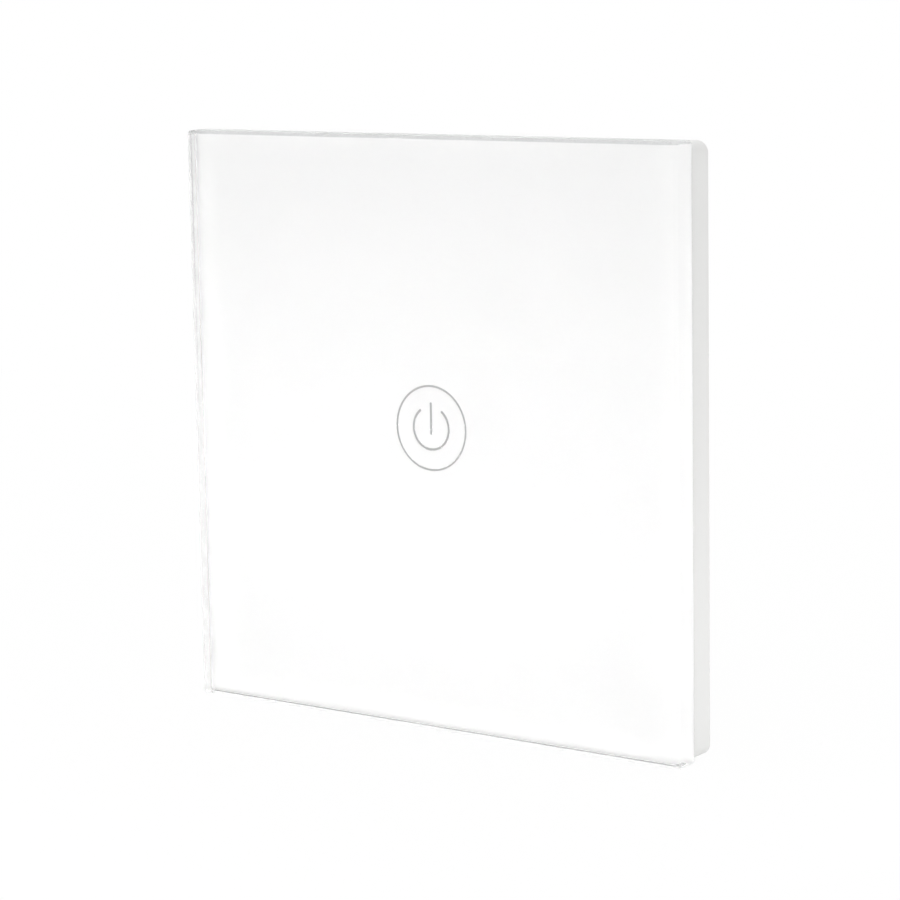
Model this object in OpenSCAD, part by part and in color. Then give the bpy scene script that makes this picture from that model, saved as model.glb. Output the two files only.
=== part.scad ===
// Touch light switch for a square wall box.
// A glass panel on a clip-on frame covers a mounting chassis. The housing behind it holds two boards,
// a relay and the wire terminals. X runs to the right, Y into the wall and Z up. The wall is at Y = 0.

/* [Glass panel] */
// Width of the glass
panel_w = 86; // [82:1:96]
// Height of the glass
panel_h = 86; // [82:1:96]
// Thickness of the glass
glass_t = 4; // [3:0.5:6]
// Radius of the corners of the glass
glass_corner_r = 0.7; // [0.4:0.1:3]
// Width of the ground edge around the front of the glass
arris = 0.5; // [0.2:0.1:1]

/* [Print] */
// Thickness of the print on the back of the glass
print_t = 0.15; // [0.1:0.05:0.3]
// Bare margin around the print
print_margin = 0.1; // [0.1:0.1:1]
// Height of the middle of the icon above the middle of the panel
icon_rise = 1; // [0:0.1:3]
// Outer diameter of the ring
ring_d = 12.5; // [10:0.1:13]
// Line width of the ring
ring_line = 0.3; // [0.2:0.05:0.6]
// Outer diameter of the arc of the power symbol
icon_d = 6.6; // [5:0.1:8]
// Line width of the power symbol
icon_line = 0.36; // [0.2:0.02:0.6]
// Half of the angle that the arc leaves open at the top
icon_gap_angle = 38; // [25:1:50]
// Height of the top of the bar above the centre
bar_top = 3.75; // [3:0.05:4.2]
// Depth of the foot of the bar below the centre
bar_foot = 0.95; // [0.5:0.05:1.5]

/* [Panel frame] */
// How far the frame stands in from the edge of the glass
frame_inset = 0.3; // [0.1:0.1:1.5]
// Depth of the frame
frame_d = 4.5; // [4.5:0.1:7]
// Thickness of the walls of the frame
frame_wall = 1.6; // [1.2:0.1:2.2]
// Radius of the corners of the frame
frame_corner_r = 1.7; // [1:0.1:5]
// Thickness of the web behind the glass
web_t = 1; // [0.8:0.1:1.4]
// Width of the web, from the outside of the frame
web_w = 6; // [5:0.5:8]
// Thickness of the bonding tape
tape_t = 0.2; // [0.2:0.1:0.8]
// How far the tape stands in from the edge of the frame
tape_margin = 0.7; // [0.3:0.1:1.5]
// Gap between the frame and the wall
wall_gap = 0.2; // [0.1:0.1:0.5]
// Width of the notch for prying the panel off
pry_w = 9; // [5:1:14]
// Depth of the notch for prying the panel off
pry_d = 1; // [0.6:0.1:1.5]

/* [Panel clips] */
// Distance of a clip from the middle
clip_x = 18; // [14:1:24]
// Width of a clip
clip_w = 6; // [4:0.5:9]
// Thickness of the clip strip
clip_t = 0.4; // [0.3:0.05:0.5]
// How far the nose of a clip stands out
clip_reach = 1.6; // [1.2:0.1:1.9]
// Length of the foot of a clip
clip_foot = 4.4; // [3.6:0.2:6]
// How far the nose hooks behind the rib of the frame
clip_hook = 0.4; // [0.2:0.1:0.6]
// Height of the rib in the frame
rib_t = 0.7; // [0.4:0.1:0.8]
// Radius of the rivets that hold the clips
rivet_r = 0.8; // [0.6:0.1:1]
// Height of a rivet head
rivet_head_h = 0.5; // [0.3:0.1:0.8]

/* [Mounting chassis] */
// Gap between the chassis and the inside of the frame
chassis_gap = 1.5; // [1.2:0.1:2.5]
// Thickness of the chassis plate
plate_t = 1.8; // [1.4:0.1:2]
// Radius of the corners of the chassis plate
plate_corner_r = 3; // [1:0.5:6]
// Distance between the fixing slots
slot_spacing = 60.3; // [58:0.1:62]
// Width of a fixing slot
slot_w = 4.4; // [3.6:0.1:5]
// Length of a fixing slot
slot_l = 7.4; // [6:0.2:8]
// Depth of the seat that takes the rear housing
seat_d = 0.4; // [0.2:0.1:0.8]
// Thickness of the wall around the bay
bay_wall = 1.4; // [1:0.1:1.6]
// Distance of a board peg from the middle
peg_pos = 15; // [13:0.5:16]
// Radius of a board peg
peg_r = 1.5; // [1:0.1:2]

/* [Module cover] */
// Thickness of the cover
cover_t = 1; // [0.8:0.1:1.2]
// Gap between the cover and the print
cover_gap = 0.3; // [0.2:0.1:0.5]
// Depth of the lip that goes into the bay
lip_d = 0.8; // [0.4:0.1:1]
// Thickness of the lip
lip_t = 0.8; // [0.6:0.1:1]

/* [Rear housing] */
// Width of the housing
housing_w = 50; // [48:0.5:51]
// Height of the housing
housing_h = 50; // [48:0.5:51]
// Depth of the housing behind the wall plane
housing_d = 24; // [23.4:0.2:28]
// Thickness of the walls of the housing
housing_wall = 1.6; // [1.2:0.1:2]
// Radius of the corners of the housing
housing_corner_r = 3; // [2:0.5:4]
// Radius of a screw post
post_r = 2.4; // [2.2:0.1:2.8]
// Radius of the shoulder that carries the power board
shoulder_r = 3.6; // [3.4:0.1:4]
// Number of vent slots in the back
vent_count = 6; // [3:1:8]
// Width of a vent slot
vent_w = 1.4; // [1:0.1:1.8]
// Length of a vent slot
vent_l = 15; // [8:1:18]
// Distance between vent slots
vent_pitch = 3.2; // [2.6:0.1:3.6]

/* [Housing screws] */
// Radius of the screw shank
screw_r = 1.15; // [1:0.05:1.3]
// Radius of the screw head
screw_head_r = 2.2; // [2:0.1:2.4]
// Height of the screw head
screw_head_h = 1.4; // [1:0.1:1.6]
// Length of the screw under the head
screw_l = 8; // [6:0.5:10]

/* [Touch board] */
// Depth of the touch board behind the wall plane, with the usual housing and relay
touch_y = 2.4; // [2:0.1:3]
// Thickness of the touch board
touch_t = 1.2; // [1:0.1:1.6]
// Diameter of the touch spring at its wire
spring_d = 15.2; // [14.8:0.1:17]
// Diameter of the spring wire
spring_wire = 0.6; // [0.5:0.05:0.7]
// Turns of the touch spring
spring_turns = 7; // [5:1:7]
// Diameter of the light guide
guide_d = 13.2; // [13:0.1:13.6]
// Depth of the hollow for the indicator lights
guide_hollow = 1.6; // [1.2:0.1:2.4]
// Wall of the light guide around the hollow
guide_wall = 1.4; // [1:0.1:1.8]
// Distance of an indicator light from the middle
led_pos = 3; // [2.2:0.1:3.2]
// Height of an indicator light
led_h = 0.9; // [0.6:0.1:1]

/* [Board link] */
// Pins in the board link
link_pins = 6; // [4:1:8]
// Distance between the pins
link_pitch = 2.54; // [2:0.02:2.54]
// Height of the plastic strip, which sets the boards apart
link_h = 2.54; // [2.4:0.02:3]
// Height of the link above the middle of the boards
link_z = 18; // [17:0.5:19]
// Radius of a link pin
link_pin_r = 0.32; // [0.25:0.01:0.4]

/* [Power board] */
// Thickness of the power board
power_t = 1.6; // [1.2:0.1:2]
// Radius of the leads of the components
lead_r = 0.35; // [0.25:0.05:0.4]
// How far leads stand out of the front of the power board
lead_out = 0.9; // [0.5:0.1:1.2]

/* [Relay] */
// Length of the relay
relay_l = 20; // [20:0.2:21]
// Width of the relay
relay_w = 10; // [10:0.2:11]
// Height of the relay
relay_h = 14; // [13.9:0.1:14.5]
// Wall of the relay cover
relay_wall = 0.7; // [0.5:0.1:0.8]
// Thickness of the relay base
relay_base_t = 1.5; // [1.2:0.1:1.6]
// Thickness of the yoke
yoke_t = 1.1; // [0.9:0.1:1.2]
// Radius of the core
core_r = 1.3; // [1.1:0.1:1.4]
// Gap between the armature and the core
armature_gap = 0.45; // [0.43:0.01:0.6]
// Thickness of the armature
armature_t = 1; // [0.8:0.1:1.1]
// Gap between the two contacts
contact_gap = 0.4; // [0.38:0.01:0.5]

/* [Terminals] */
// Distance between the terminals
pole_pitch = 8; // [7.6:0.1:8.4]
// Wall of the terminal block between two cages
pole_wall = 1.8; // [1.6:0.1:2]
// Depth of the terminal block, from its wire entries inwards
block_d = 10.4; // [10:0.1:11]
// Radius of a wire entry
wire_r = 1.7; // [1.4:0.1:1.8]
// Radius of a terminal screw
clamp_screw_r = 1.5; // [1.3:0.1:1.6]
// Radius of the head of a terminal screw
clamp_head_r = 2.4; // [2.2:0.1:2.5]
// Height of the head of a terminal screw
clamp_head_h = 1.8; // [1.4:0.1:2]
// Thickness of the sides and the floor of a clamp cage
cage_t = 0.8; // [0.6:0.1:0.9]
// Thickness of the threaded roof of a clamp cage
cage_roof = 1.6; // [1.2:0.1:1.8]
// Room for the wire in an open cage
wire_room = 3.6; // [3.2:0.1:4]
// Travel of a clamp cage
cage_travel = 2.4; // [2:0.1:2.6]
// Thickness of a contact bar
bar_t = 1; // [0.8:0.1:1.2]

/* [Fits] */
// Gap between pieces that fit together
fit = 0.15; // [0.1:0.05:0.2]
// Radial clearance of a shaft in its hole
run_fit = 0.05; // [0.03:0.01:0.08]
// Radial clearance of a lead in its board
lead_fit = 0.1; // [0.05:0.05:0.15]

/* [Hidden] */
$fn = 64;
// Overshoot of a cut past the face that it opens
cut = 1;
// Sides of the panel, from the wall forwards
y_frame = -wall_gap - frame_d;
y_tape = y_frame - tape_t;
y_print = y_tape - print_t;
y_glass = y_print - glass_t;
frame_w = panel_w - 2 * frame_inset;
frame_h = panel_h - 2 * frame_inset;
inner_w = frame_w - 2 * frame_wall;
inner_h = frame_h - 2 * frame_wall;
// Half of the hairline between the print and the icon
ink_gap = 0.01;
// Chassis plate
plate_w = inner_w - 2 * chassis_gap;
plate_h = inner_h - 2 * chassis_gap;
// Clips: the strip stands near the edge of the plate and its nose reaches past the rib
clip_inset = 0.7;
clip_edge = plate_h / 2 - clip_inset;
clip_nose = clip_edge + clip_reach;
clip_rise = 0.6;
rib_reach = clip_nose - clip_hook;
rib_extra = 6;
y_clip_foot = -plate_t - clip_t;
y_nose = y_clip_foot - clip_rise;
// The bend of a clip leaves room in front of the web of the frame
usual_bend = 0.7;
bend_gap = 0.1;
clip_bend = min(usual_bend, y_nose - y_frame - web_t - bend_gap);
y_rib = -plate_t;
rivet_in = 1.8;
rivet_z = clip_edge - clip_foot + rivet_in;
rivet_head_r = 1.7 * rivet_r;
// Least radius of an inside corner
least_corner_r = 0.4;
// Rear housing and its screw posts
room_w = housing_w - 2 * housing_wall;
room_h = housing_h - 2 * housing_wall;
post_sink = 0.2;
post_x = room_w / 2 - post_r + post_sink;
post_z = room_h / 2 - post_r + post_sink;
y_room = housing_d - housing_wall;
vent_top = 0.3 * room_h;
vent_middle = 5;
// Half of the width of the cross in a housing screw and of the slot in a terminal screw
cross_half = 0.3;
slot_half = 0.35;
// Bay and cover, with room for the lip of the cover around the heads of the screws
head_gap = 0.2;
bay_clear = fit + lip_t + head_gap;
bay_w = 2 * (post_x + screw_head_r + bay_clear);
bay_h = 2 * (post_z + screw_head_r + bay_clear);
bay_out_w = bay_w + 2 * bay_wall;
bay_out_h = bay_h + 2 * bay_wall;
bay_corner_r = 2.4;
y_cover = y_tape + cover_gap;
y_bay = y_cover + cover_t;
// Boards
board_gap = 0.3;
board_w = room_w - 2 * board_gap;
board_h = room_h - 2 * board_gap;
notch = post_r + board_gap;
// The boards keep their distance from the back of the housing, which the relay nearly reaches
usual_room = 22.4;
usual_relay_h = 14;
y_touch = touch_y + y_room - usual_room - (relay_h - usual_relay_h);
y_link = y_touch + touch_t;
y_power = y_link + link_h;
y_parts = y_power + power_t;
link_xs = [for (i = [0 : link_pins - 1]) (i - (link_pins - 1) / 2) * link_pitch];
link_end = 1.2;
link_tail = 0.3;
// Touch spring and light guide
spring_gap = 0.1;
guide_gap = 0.3;
spring_y0 = y_touch - spring_wire / 2;
spring_y1 = y_tape + spring_gap + spring_wire / 2;
spring_sides = 8;
spring_steps = 20;
spring_room = 0.7;
cover_room = 0.4;
spring_hole_r = spring_d / 2 + spring_wire / 2 + spring_room;
cover_hole_r = spring_d / 2 + spring_wire / 2 + cover_room;
spring_last = spring_turns * spring_steps;
led_w = 2.6;
led_l = 1.8;
led_angles = [45, 135, 225, 315];
// Chips: position, body across and along, height
touch_chip_at = [14, 0];
touch_chip_size = [3.9, 4.9, 1.3];
power_chip_at = [-13, 13.5];
power_chip_size = [4.9, 3.9, 1.5];
chip_lead_w = 0.4;
chip_lead_t = 0.2;
chip_lead_reach = 1;
chip_pitch = 1.27;
chip_lift = 0.1;
smd_size = [1.6, 0.8, 0.8];
smd_x = -12.5;
smd_pitch = 2.4;
smd_at = [for (i = [-3 : 3]) [smd_x, i * smd_pitch]];
// Parts on the power board: position and size
film_at = [-10.5, 6.5];
film_size = [13, 6, 11];
film_lead = 5;
film_corner_r = 0.6;
can_at = [[14.5, -4], [14.5, 5.2]];
can_r = [4, 3.15];
can_h = [11.5, 9];
can_lead = [1.75, 1.25];
can_rim = 0.5;
can_top_t = 0.3;
can_round = 0.3;
can_groove = 0.4;
can_groove_at = 1.8;
varistor_at = [4.6, -5];
varistor_r = 3.75;
varistor_t = 3.6;
varistor_lift = 0.8;
varistor_lead = 2.5;
varistor_foot = 0.6;
fuse_at = [3, 11.6];
fuse_r = 1.6;
fuse_l = 8.4;
fuse_lift = 0.6;
fuse_bend = 1.4;
fuse_round = 0.3;
fuse_cap = 1.8;
fuse_slope = 0.4;
fuse_neck = 0.2;
bridge_at = [4.6, 4.4];
bridge_size = [6.4, 7.6, 3];
bridge_lead = [2.2, 2.8];
coil_at = [15, 13];
coil_r = 3;
coil_h = 6.5;
coil_rim = 0.8;
coil_waist = 0.7;
coil_slope = 0.3;
coil_lead = 1.8;
// Relay, measured from the middle of its foot
relay_at = [-11.8, -4.4];
relay_fit = 0.1;
relay_in_l = relay_l - 2 * relay_wall;
relay_in_w = relay_w - 2 * relay_wall;
core_x = -3.6;
flange_r = 3.8;
flange_t = 0.6;
barrel_t = 0.6;
barrel_r = core_r + barrel_t;
winding_r = 3.4;
yoke_gap = 0.5;
yoke_x = core_x + flange_r + yoke_gap;
yoke_w = 6;
yoke_foot = 2.6;
h_yoke = relay_base_t + yoke_t;
blade_t = 0.2;
button_h = 0.3;
rivet_h = 0.25;
contact_t = 0.4;
core_out = 0.4;
relay_roof_gap = 0.7;
contact_stack = armature_gap + armature_t + blade_t + button_h + contact_gap + rivet_h + contact_t;
bobbin_h = relay_h - relay_wall - relay_roof_gap - contact_stack - core_out - h_yoke;
h_core = h_yoke + bobbin_h + core_out;
pivot_gap = 0.15;
h_armature = h_core + armature_gap;
h_pivot = h_armature - pivot_gap / 2;
pivot_x = yoke_x + yoke_t / 2;
armature_end = 1.6;
armature_tail = 0.7;
armature_x0 = core_x - core_r - armature_end;
armature_x1 = yoke_x + yoke_t + armature_tail;
armature_w = 5.8;
blade_w = 3.2;
blade_start = 1.6;
blade_x0 = core_x + blade_start;
blade_x1 = 7.5;
h_blade = h_armature + armature_t;
button_x = 6.6;
button_r = 0.8;
h_contact = h_blade + blade_t + button_h + contact_gap;
contact_lap = 0.2;
contact_side = 0.3;
contact_x0 = button_x - button_r - contact_lap;
contact_x1 = blade_x1 + contact_side;
relay_pin_r = 0.4;
relay_pin_at = [[-6.6, -3.2], [-6.6, 3.2], [-0.6, -3.5]];
contact_pin_at = [contact_x1 + contact_t / 2, 0];
// Terminals, measured along the depth from the power board
pole_xs = [-pole_pitch, 0, pole_pitch];
cage_w = pole_pitch - pole_wall - 2 * fit;
cage_l = 4.8;
cage_window = cage_w - 2 * cage_t;
block_end = 0.6;
block_w = 3 * pole_pitch + 2 * block_end;
block_z0 = -room_h / 2 + board_gap;
block_z1 = block_z0 + block_d;
entry_wall = 2.8;
pole_z = block_z0 + entry_wall + fit + cage_l / 2;
pit_z0 = pole_z - cage_l / 2 - fit;
pit_z1 = pole_z + cage_l / 2 + fit;
pit_floor = 1.5;
cage_lift = 0.2;
y_pit = y_parts + pit_floor;
y_cage = y_pit + cage_lift;
y_bar = y_cage + cage_t + wire_room;
bar_gap = 0.6;
y_roof = y_bar + bar_t + bar_gap;
pit_spare = 0.1;
head_seat = 0.8;
head_sink = 0.8;
block_sink = 0.2;
bar_side = 0.4;
y_pit_end = y_roof + cage_roof + cage_travel + pit_spare;
y_head = y_pit_end + head_seat;
y_block = max(y_head + clamp_head_h + head_sink, housing_d - block_sink);
bar_w = cage_window - 2 * bar_side;
bar_leg = 0.8;
bar_z0 = pole_z - cage_l / 2;
bar_z1 = pit_z1 + fit + bar_leg;
clamp_tip_gap = 0.05;
terminal_pin_r = 0.5;
terminal_pin_z = bar_z1 - bar_leg / 2;
wire_y = y_cage + cage_t + wire_room / 2;
wire_hole_extra = 0.4;

// Positions of all component leads on the power board
can_leads = [for (i = [0, 1], s = [-1, 1]) [can_at[i][0], can_at[i][1] + s * can_lead[i]]];
seated_leads = concat(
    [for (s = [-1, 1]) [film_at[0] + s * film_lead, film_at[1]]],
    can_leads,
    [for (sx = [-1, 1], sz = [-1, 1])
        [bridge_at[0] + sx * bridge_lead[0], bridge_at[1] + sz * bridge_lead[1]]],
    [for (s = [-1, 1]) [coil_at[0] + s * coil_lead, coil_at[1]]]);
varistor_leads = [for (s = [-1, 1]) [varistor_at[0], varistor_at[1] + s * varistor_lead]];
fuse_leads = [for (s = [-1, 1]) [fuse_at[0] + s * (fuse_l / 2 + fuse_bend), fuse_at[1]]];
relay_leads = [for (p = concat(relay_pin_at, [contact_pin_at])) p + relay_at];

// A rectangle with round corners, centred
module rounded_rect(w, h, r) {
    square([w - 2 * r, h], center = true);
    square([w, h - 2 * r], center = true);
    for (sx = [-1, 1], sy = [-1, 1])
        translate([sx * (w / 2 - r), sy * (h / 2 - r)])
            circle(r);
}

// A flat shape drawn in X and Z, made solid from depth y0 to depth y1
module slab(y0, y1)
    translate([0, y1, 0])
        rotate([90, 0, 0])
            linear_extrude(y1 - y0)
                children();

// A round rod along the depth at p = [x, z]
module rod(p, y0, y1, r)
    translate([p[0], y1, p[1]])
        rotate([90, 0, 0])
            cylinder(h = y1 - y0, r = r);

// A brick between two corners
module brick(lo, hi)
    translate(lo)
        cube(hi - lo);

// Puts children at the four corners at +-x, +-z
module at_corners(x, z)
    for (sx = [-1, 1], sz = [-1, 1])
        translate([sx * x, 0, sz * z])
            children();

// The ring, the arc and the bar, each line wider by grow on both sides
module icon_lines(grow) {
    difference() {
        circle(ring_d / 2 + grow);
        circle(ring_d / 2 - ring_line - grow);
    }
    difference() {
        circle(icon_d / 2 + grow);
        circle(icon_d / 2 - icon_line - grow);
        gap_w = icon_d * tan(icon_gap_angle);
        polygon([[0, 0], [gap_w, icon_d], [-gap_w, icon_d]]);
    }
    for (s = [-1, 1])
        rotate(s * icon_gap_angle)
            translate([0, icon_d / 2 - icon_line / 2])
                circle(icon_line / 2 + grow);
    bar_half = icon_line / 2 + grow;
    translate([-bar_half, -bar_foot + icon_line / 2])
        square([2 * bar_half, bar_top + bar_foot - icon_line]);
    for (y = [-bar_foot + icon_line / 2, bar_top - icon_line / 2])
        translate([0, y])
            circle(bar_half);
}

module glass_panel() color([0.86, 0.94, 0.93, 0.45])
    difference() {
        slab(y_glass, y_print)
            rounded_rect(panel_w, panel_h, glass_corner_r);
        side = arris * sqrt(2);
        for (s = [-1, 1]) {
            translate([s * panel_w / 2, y_glass, 0])
                rotate([0, 0, 45])
                    cube([side, side, panel_h + 2 * cut], center = true);
            translate([0, y_glass, s * panel_h / 2])
                rotate([45, 0, 0])
                    cube([panel_w + 2 * cut, side, side], center = true);
        }
    }

module back_print() color("white")
    slab(y_print, y_tape)
        difference() {
            rounded_rect(panel_w - 2 * print_margin, panel_h - 2 * print_margin, glass_corner_r);
            translate([0, icon_rise])
                icon_lines(ink_gap);
        }

module icon_print() color([0.74, 0.75, 0.76])
    slab(y_print, y_tape)
        translate([0, icon_rise])
            icon_lines(-ink_gap);

module panel_tape() color([0.3, 0.3, 0.3])
    slab(y_tape, y_frame)
        difference() {
            rounded_rect(frame_w - 2 * tape_margin, frame_h - 2 * tape_margin, frame_corner_r);
            rounded_rect(frame_w - 2 * web_w + 2 * fit, frame_h - 2 * web_w + 2 * fit,
                frame_corner_r);
        }

module panel_frame() color([0.93, 0.93, 0.91]) {
    difference() {
        slab(y_frame, -wall_gap)
            rounded_rect(frame_w, frame_h, frame_corner_r);
        slab(y_frame + web_t, cut)
            rounded_rect(inner_w, inner_h, max(frame_corner_r - frame_wall, least_corner_r));
        slab(y_frame - cut, cut)
            rounded_rect(frame_w - 2 * web_w, frame_h - 2 * web_w, frame_corner_r);
        brick([-pry_w / 2, -wall_gap - pry_d, -frame_h / 2 - cut],
            [pry_w / 2, cut, -inner_h / 2 + cut]);
    }
    for (sx = [-1, 1], sz = [-1, 1])
        translate([sx * clip_x, 0, 0])
            mirror([0, 0, sz < 0 ? 1 : 0])
                brick([-clip_w / 2 - rib_extra / 2, y_rib - rib_t, rib_reach],
                    [clip_w / 2 + rib_extra / 2, y_rib, inner_h / 2 + frame_wall / 2]);
}

// One clip, drawn as its side view in Z and Y, at the top of the plate
module clip_profile()
    polygon([
        [clip_edge - clip_foot, -plate_t],
        [clip_edge, -plate_t],
        [clip_edge, y_clip_foot],
        [clip_nose, y_nose],
        [clip_edge, y_nose - clip_bend],
        [clip_edge - clip_t, y_nose - clip_bend + clip_t / 2],
        [clip_nose - 2 * clip_t, y_nose],
        [clip_edge - clip_t, y_clip_foot - clip_t / 2],
        [clip_edge - clip_t, y_clip_foot],
        [clip_edge - clip_foot, y_clip_foot]]);

module panel_clips() color([0.72, 0.73, 0.74])
    for (sx = [-1, 1], sz = [-1, 1])
        translate([sx * clip_x, 0, 0])
            mirror([0, 0, sz < 0 ? 1 : 0])
                difference() {
                    translate([clip_w / 2, 0, 0])
                        rotate([0, -90, 0])
                            linear_extrude(clip_w)
                                clip_profile();
                    rod([0, rivet_z], y_clip_foot - cut, -plate_t + cut, rivet_r + run_fit);
                }

module clip_rivets() color([0.6, 0.6, 0.62])
    at_corners(clip_x, rivet_z) {
        rod([0, 0], y_clip_foot, 0, rivet_r);
        rod([0, 0], y_clip_foot - rivet_head_h, y_clip_foot, rivet_head_r);
    }

// A fixing slot, long in X
module slot_shape() {
    square([slot_l - slot_w, slot_w], center = true);
    for (s = [-1, 1])
        translate([s * (slot_l - slot_w) / 2, 0])
            circle(slot_w / 2);
}

module mounting_chassis() color([0.9, 0.9, 0.88]) {
    difference() {
        union() {
            slab(-plate_t, 0)
                rounded_rect(plate_w, plate_h, plate_corner_r);
            slab(y_bay, -plate_t)
                difference() {
                    rounded_rect(bay_out_w, bay_out_h, bay_corner_r + bay_wall);
                    rounded_rect(bay_w, bay_h, bay_corner_r);
                }
        }
        slab(-seat_d, cut)
            rounded_rect(housing_w + 4 * fit, housing_h + 4 * fit, housing_corner_r);
        rod([0, icon_rise], -plate_t - cut, cut, spring_hole_r);
        at_corners(post_x, post_z)
            rod([0, 0], -plate_t - cut, cut, screw_r + 2 * fit);
        at_corners(clip_x, rivet_z)
            rod([0, 0], -plate_t - cut, cut, rivet_r + run_fit);
        for (s = [-1, 1])
            translate([s * slot_spacing / 2, 0, 0])
                slab(-plate_t - cut, cut)
                    slot_shape();
    }
    at_corners(peg_pos, peg_pos)
        rod([0, 0], -seat_d - cut / 2, y_touch, peg_r);
}

module module_cover() color([0.94, 0.94, 0.92])
    difference() {
        union() {
            slab(y_cover, y_bay)
                rounded_rect(bay_out_w, bay_out_h, bay_corner_r + bay_wall);
            slab(y_bay - cut / 2, y_bay + lip_d)
                difference() {
                    rounded_rect(bay_w - 2 * fit, bay_h - 2 * fit, bay_corner_r);
                    rounded_rect(bay_w - 2 * fit - 2 * lip_t, bay_h - 2 * fit - 2 * lip_t,
                        bay_corner_r);
                }
        }
        rod([0, icon_rise], y_cover - cut, y_bay + cut, cover_hole_r);
    }

module rear_housing() color([0.86, 0.86, 0.84])
    difference() {
        union() {
            slab(-seat_d, housing_d)
                difference() {
                    rounded_rect(housing_w, housing_h, housing_corner_r);
                    rounded_rect(room_w, room_h, max(housing_corner_r - housing_wall, least_corner_r));
                }
            slab(y_room, housing_d)
                rounded_rect(housing_w, housing_h, housing_corner_r);
            intersection() {
                at_corners(post_x, post_z) {
                    rod([0, 0], -seat_d, y_parts + cut, post_r);
                    rod([0, 0], y_parts, y_room + housing_wall / 2, shoulder_r);
                }
                slab(-seat_d, housing_d)
                    rounded_rect(housing_w, housing_h, housing_corner_r);
            }
        }
        at_corners(post_x, post_z)
            rod([0, 0], -seat_d - cut, screw_l - plate_t + cut, screw_r + run_fit);
        brick([-block_w / 2 - fit, y_room - cut, block_z0 - fit],
            [block_w / 2 + fit, housing_d + cut, block_z1 + fit]);
        for (x = pole_xs)
            translate([x, wire_y, -housing_h / 2 - cut])
                cylinder(h = housing_wall + 2 * cut, r = wire_r + wire_hole_extra);
        for (i = [0 : vent_count - 1], s = [-1, 1])
            translate([s * (vent_l + vent_middle) / 2, 0, vent_top - i * vent_pitch])
                brick([-vent_l / 2, y_room - cut, -vent_w / 2],
                    [vent_l / 2, housing_d + cut, vent_w / 2]);
    }

module housing_screws() color([0.7, 0.71, 0.72])
    at_corners(post_x, post_z)
        difference() {
            union() {
                rod([0, 0], -plate_t - screw_head_h, -plate_t, screw_head_r);
                rod([0, 0], -plate_t - screw_head_h / 2, screw_l - plate_t, screw_r);
            }
            cross_reach = 0.6 * screw_head_r;
            for (a = [0, 90])
                rotate([0, a, 0])
                    brick([-cross_reach, -plate_t - screw_head_h - cut, -cross_half],
                        [cross_reach, -plate_t - screw_head_h / 2, cross_half]);
        }

// Outline of both boards, with the corners cut out for the screw posts
module board_shape()
    difference() {
        square([board_w, board_h], center = true);
        for (sx = [-1, 1], sy = [-1, 1])
            translate([sx * (post_x - notch + board_w / 2), sy * (post_z - notch + board_h / 2)])
                square([board_w, board_h], center = true);
    }

module link_holes()
    for (x = link_xs)
        translate([x, link_z])
            circle(link_pin_r + lead_fit);

module touch_board() color([0.1, 0.4, 0.22])
    slab(y_touch, y_link)
        difference() {
            board_shape();
            link_holes();
        }

// Centre line of the touch spring: an open coil about the depth axis
function spring_point(i) =
    let (a = 360 * i / spring_steps, t = i / (spring_turns * spring_steps))
    [spring_d / 2 * cos(a), spring_y0 + (spring_y1 - spring_y0) * t,
        icon_rise + spring_d / 2 * sin(a)];

// A ring of the spring wire at step i
function spring_ring(i) =
    let (a = 360 * i / spring_steps, c = spring_point(i))
    [for (k = [0 : spring_sides - 1])
        let (b = 360 * k / spring_sides, r = spring_wire / 2)
        c + [r * cos(b) * cos(a), r * sin(b), r * cos(b) * sin(a)]];

// Least gap between two turns of the touch spring
spring_clear = min([for (i = [0 : spring_last], j = [i + spring_steps / 2 : spring_last])
    norm(spring_point(i) - spring_point(j))]) - spring_wire;
echo(str("least gap between turns of the touch spring: ", spring_clear, " mm"));

module touch_spring() color([0.8, 0.78, 0.7]) {
    n = spring_sides;
    points = [for (i = [0 : spring_last]) each spring_ring(i)];
    sides = [for (i = [0 : spring_last - 1], k = [0 : n - 1], h = [0, 1])
        let (a = i * n + k, b = i * n + (k + 1) % n)
        h == 0 ? [a, b, b + n] : [a, b + n, a + n]];
    first = [for (k = [1 : n - 2]) [0, k + 1, k]];
    last = [for (k = [1 : n - 2]) [spring_last * n, spring_last * n + k, spring_last * n + k + 1]];
    polyhedron(points, concat(sides, first, last));
}

module light_guide() color([0.9, 0.94, 0.95, 0.7])
    difference() {
        rod([0, icon_rise], y_tape + guide_gap, y_touch, guide_d / 2);
        rod([0, icon_rise], y_touch - guide_hollow, y_touch + cut, guide_d / 2 - guide_wall);
    }

module indicator_leds() color([0.95, 0.95, 0.8])
    translate([0, 0, icon_rise])
        for (a = led_angles)
            rotate([0, a, 0])
                brick([led_pos - led_l / 2, y_touch - led_h, -led_w / 2],
                    [led_pos + led_l / 2, y_touch, led_w / 2]);

// A chip body at p on the back of a board whose back is at y
module chip_body(p, size, y)
    translate([p[0], y, p[1]])
        brick([-size[0] / 2, chip_lift, -size[1] / 2], [size[0] / 2, size[2], size[1] / 2]);

// The leads of a chip, on the two sides across X or across Z
module chip_legs(p, size, y, across_x)
    translate([p[0], y, p[1]])
        rotate([0, across_x ? 0 : 90, 0])
            for (s = [0, 180], i = [-1.5 : 1 : 1.5])
                rotate([0, s, 0])
                    translate([size[across_x ? 0 : 1] / 2, 0, i * chip_pitch]) {
                        half = chip_lead_w / 2;
                        mid = size[2] / 2;
                        knee = chip_lead_reach / 2;
                        brick([0, mid, -half], [knee, mid + chip_lead_t, half]);
                        brick([knee - chip_lead_t, 0, -half], [knee, mid + chip_lead_t, half]);
                        brick([knee - chip_lead_t, 0, -half], [chip_lead_reach, chip_lead_t, half]);
                    }

module touch_chip() color([0.12, 0.12, 0.12])
    chip_body(touch_chip_at, touch_chip_size, y_link);

module power_chip() color([0.12, 0.12, 0.12])
    chip_body(power_chip_at, power_chip_size, y_parts);

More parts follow.
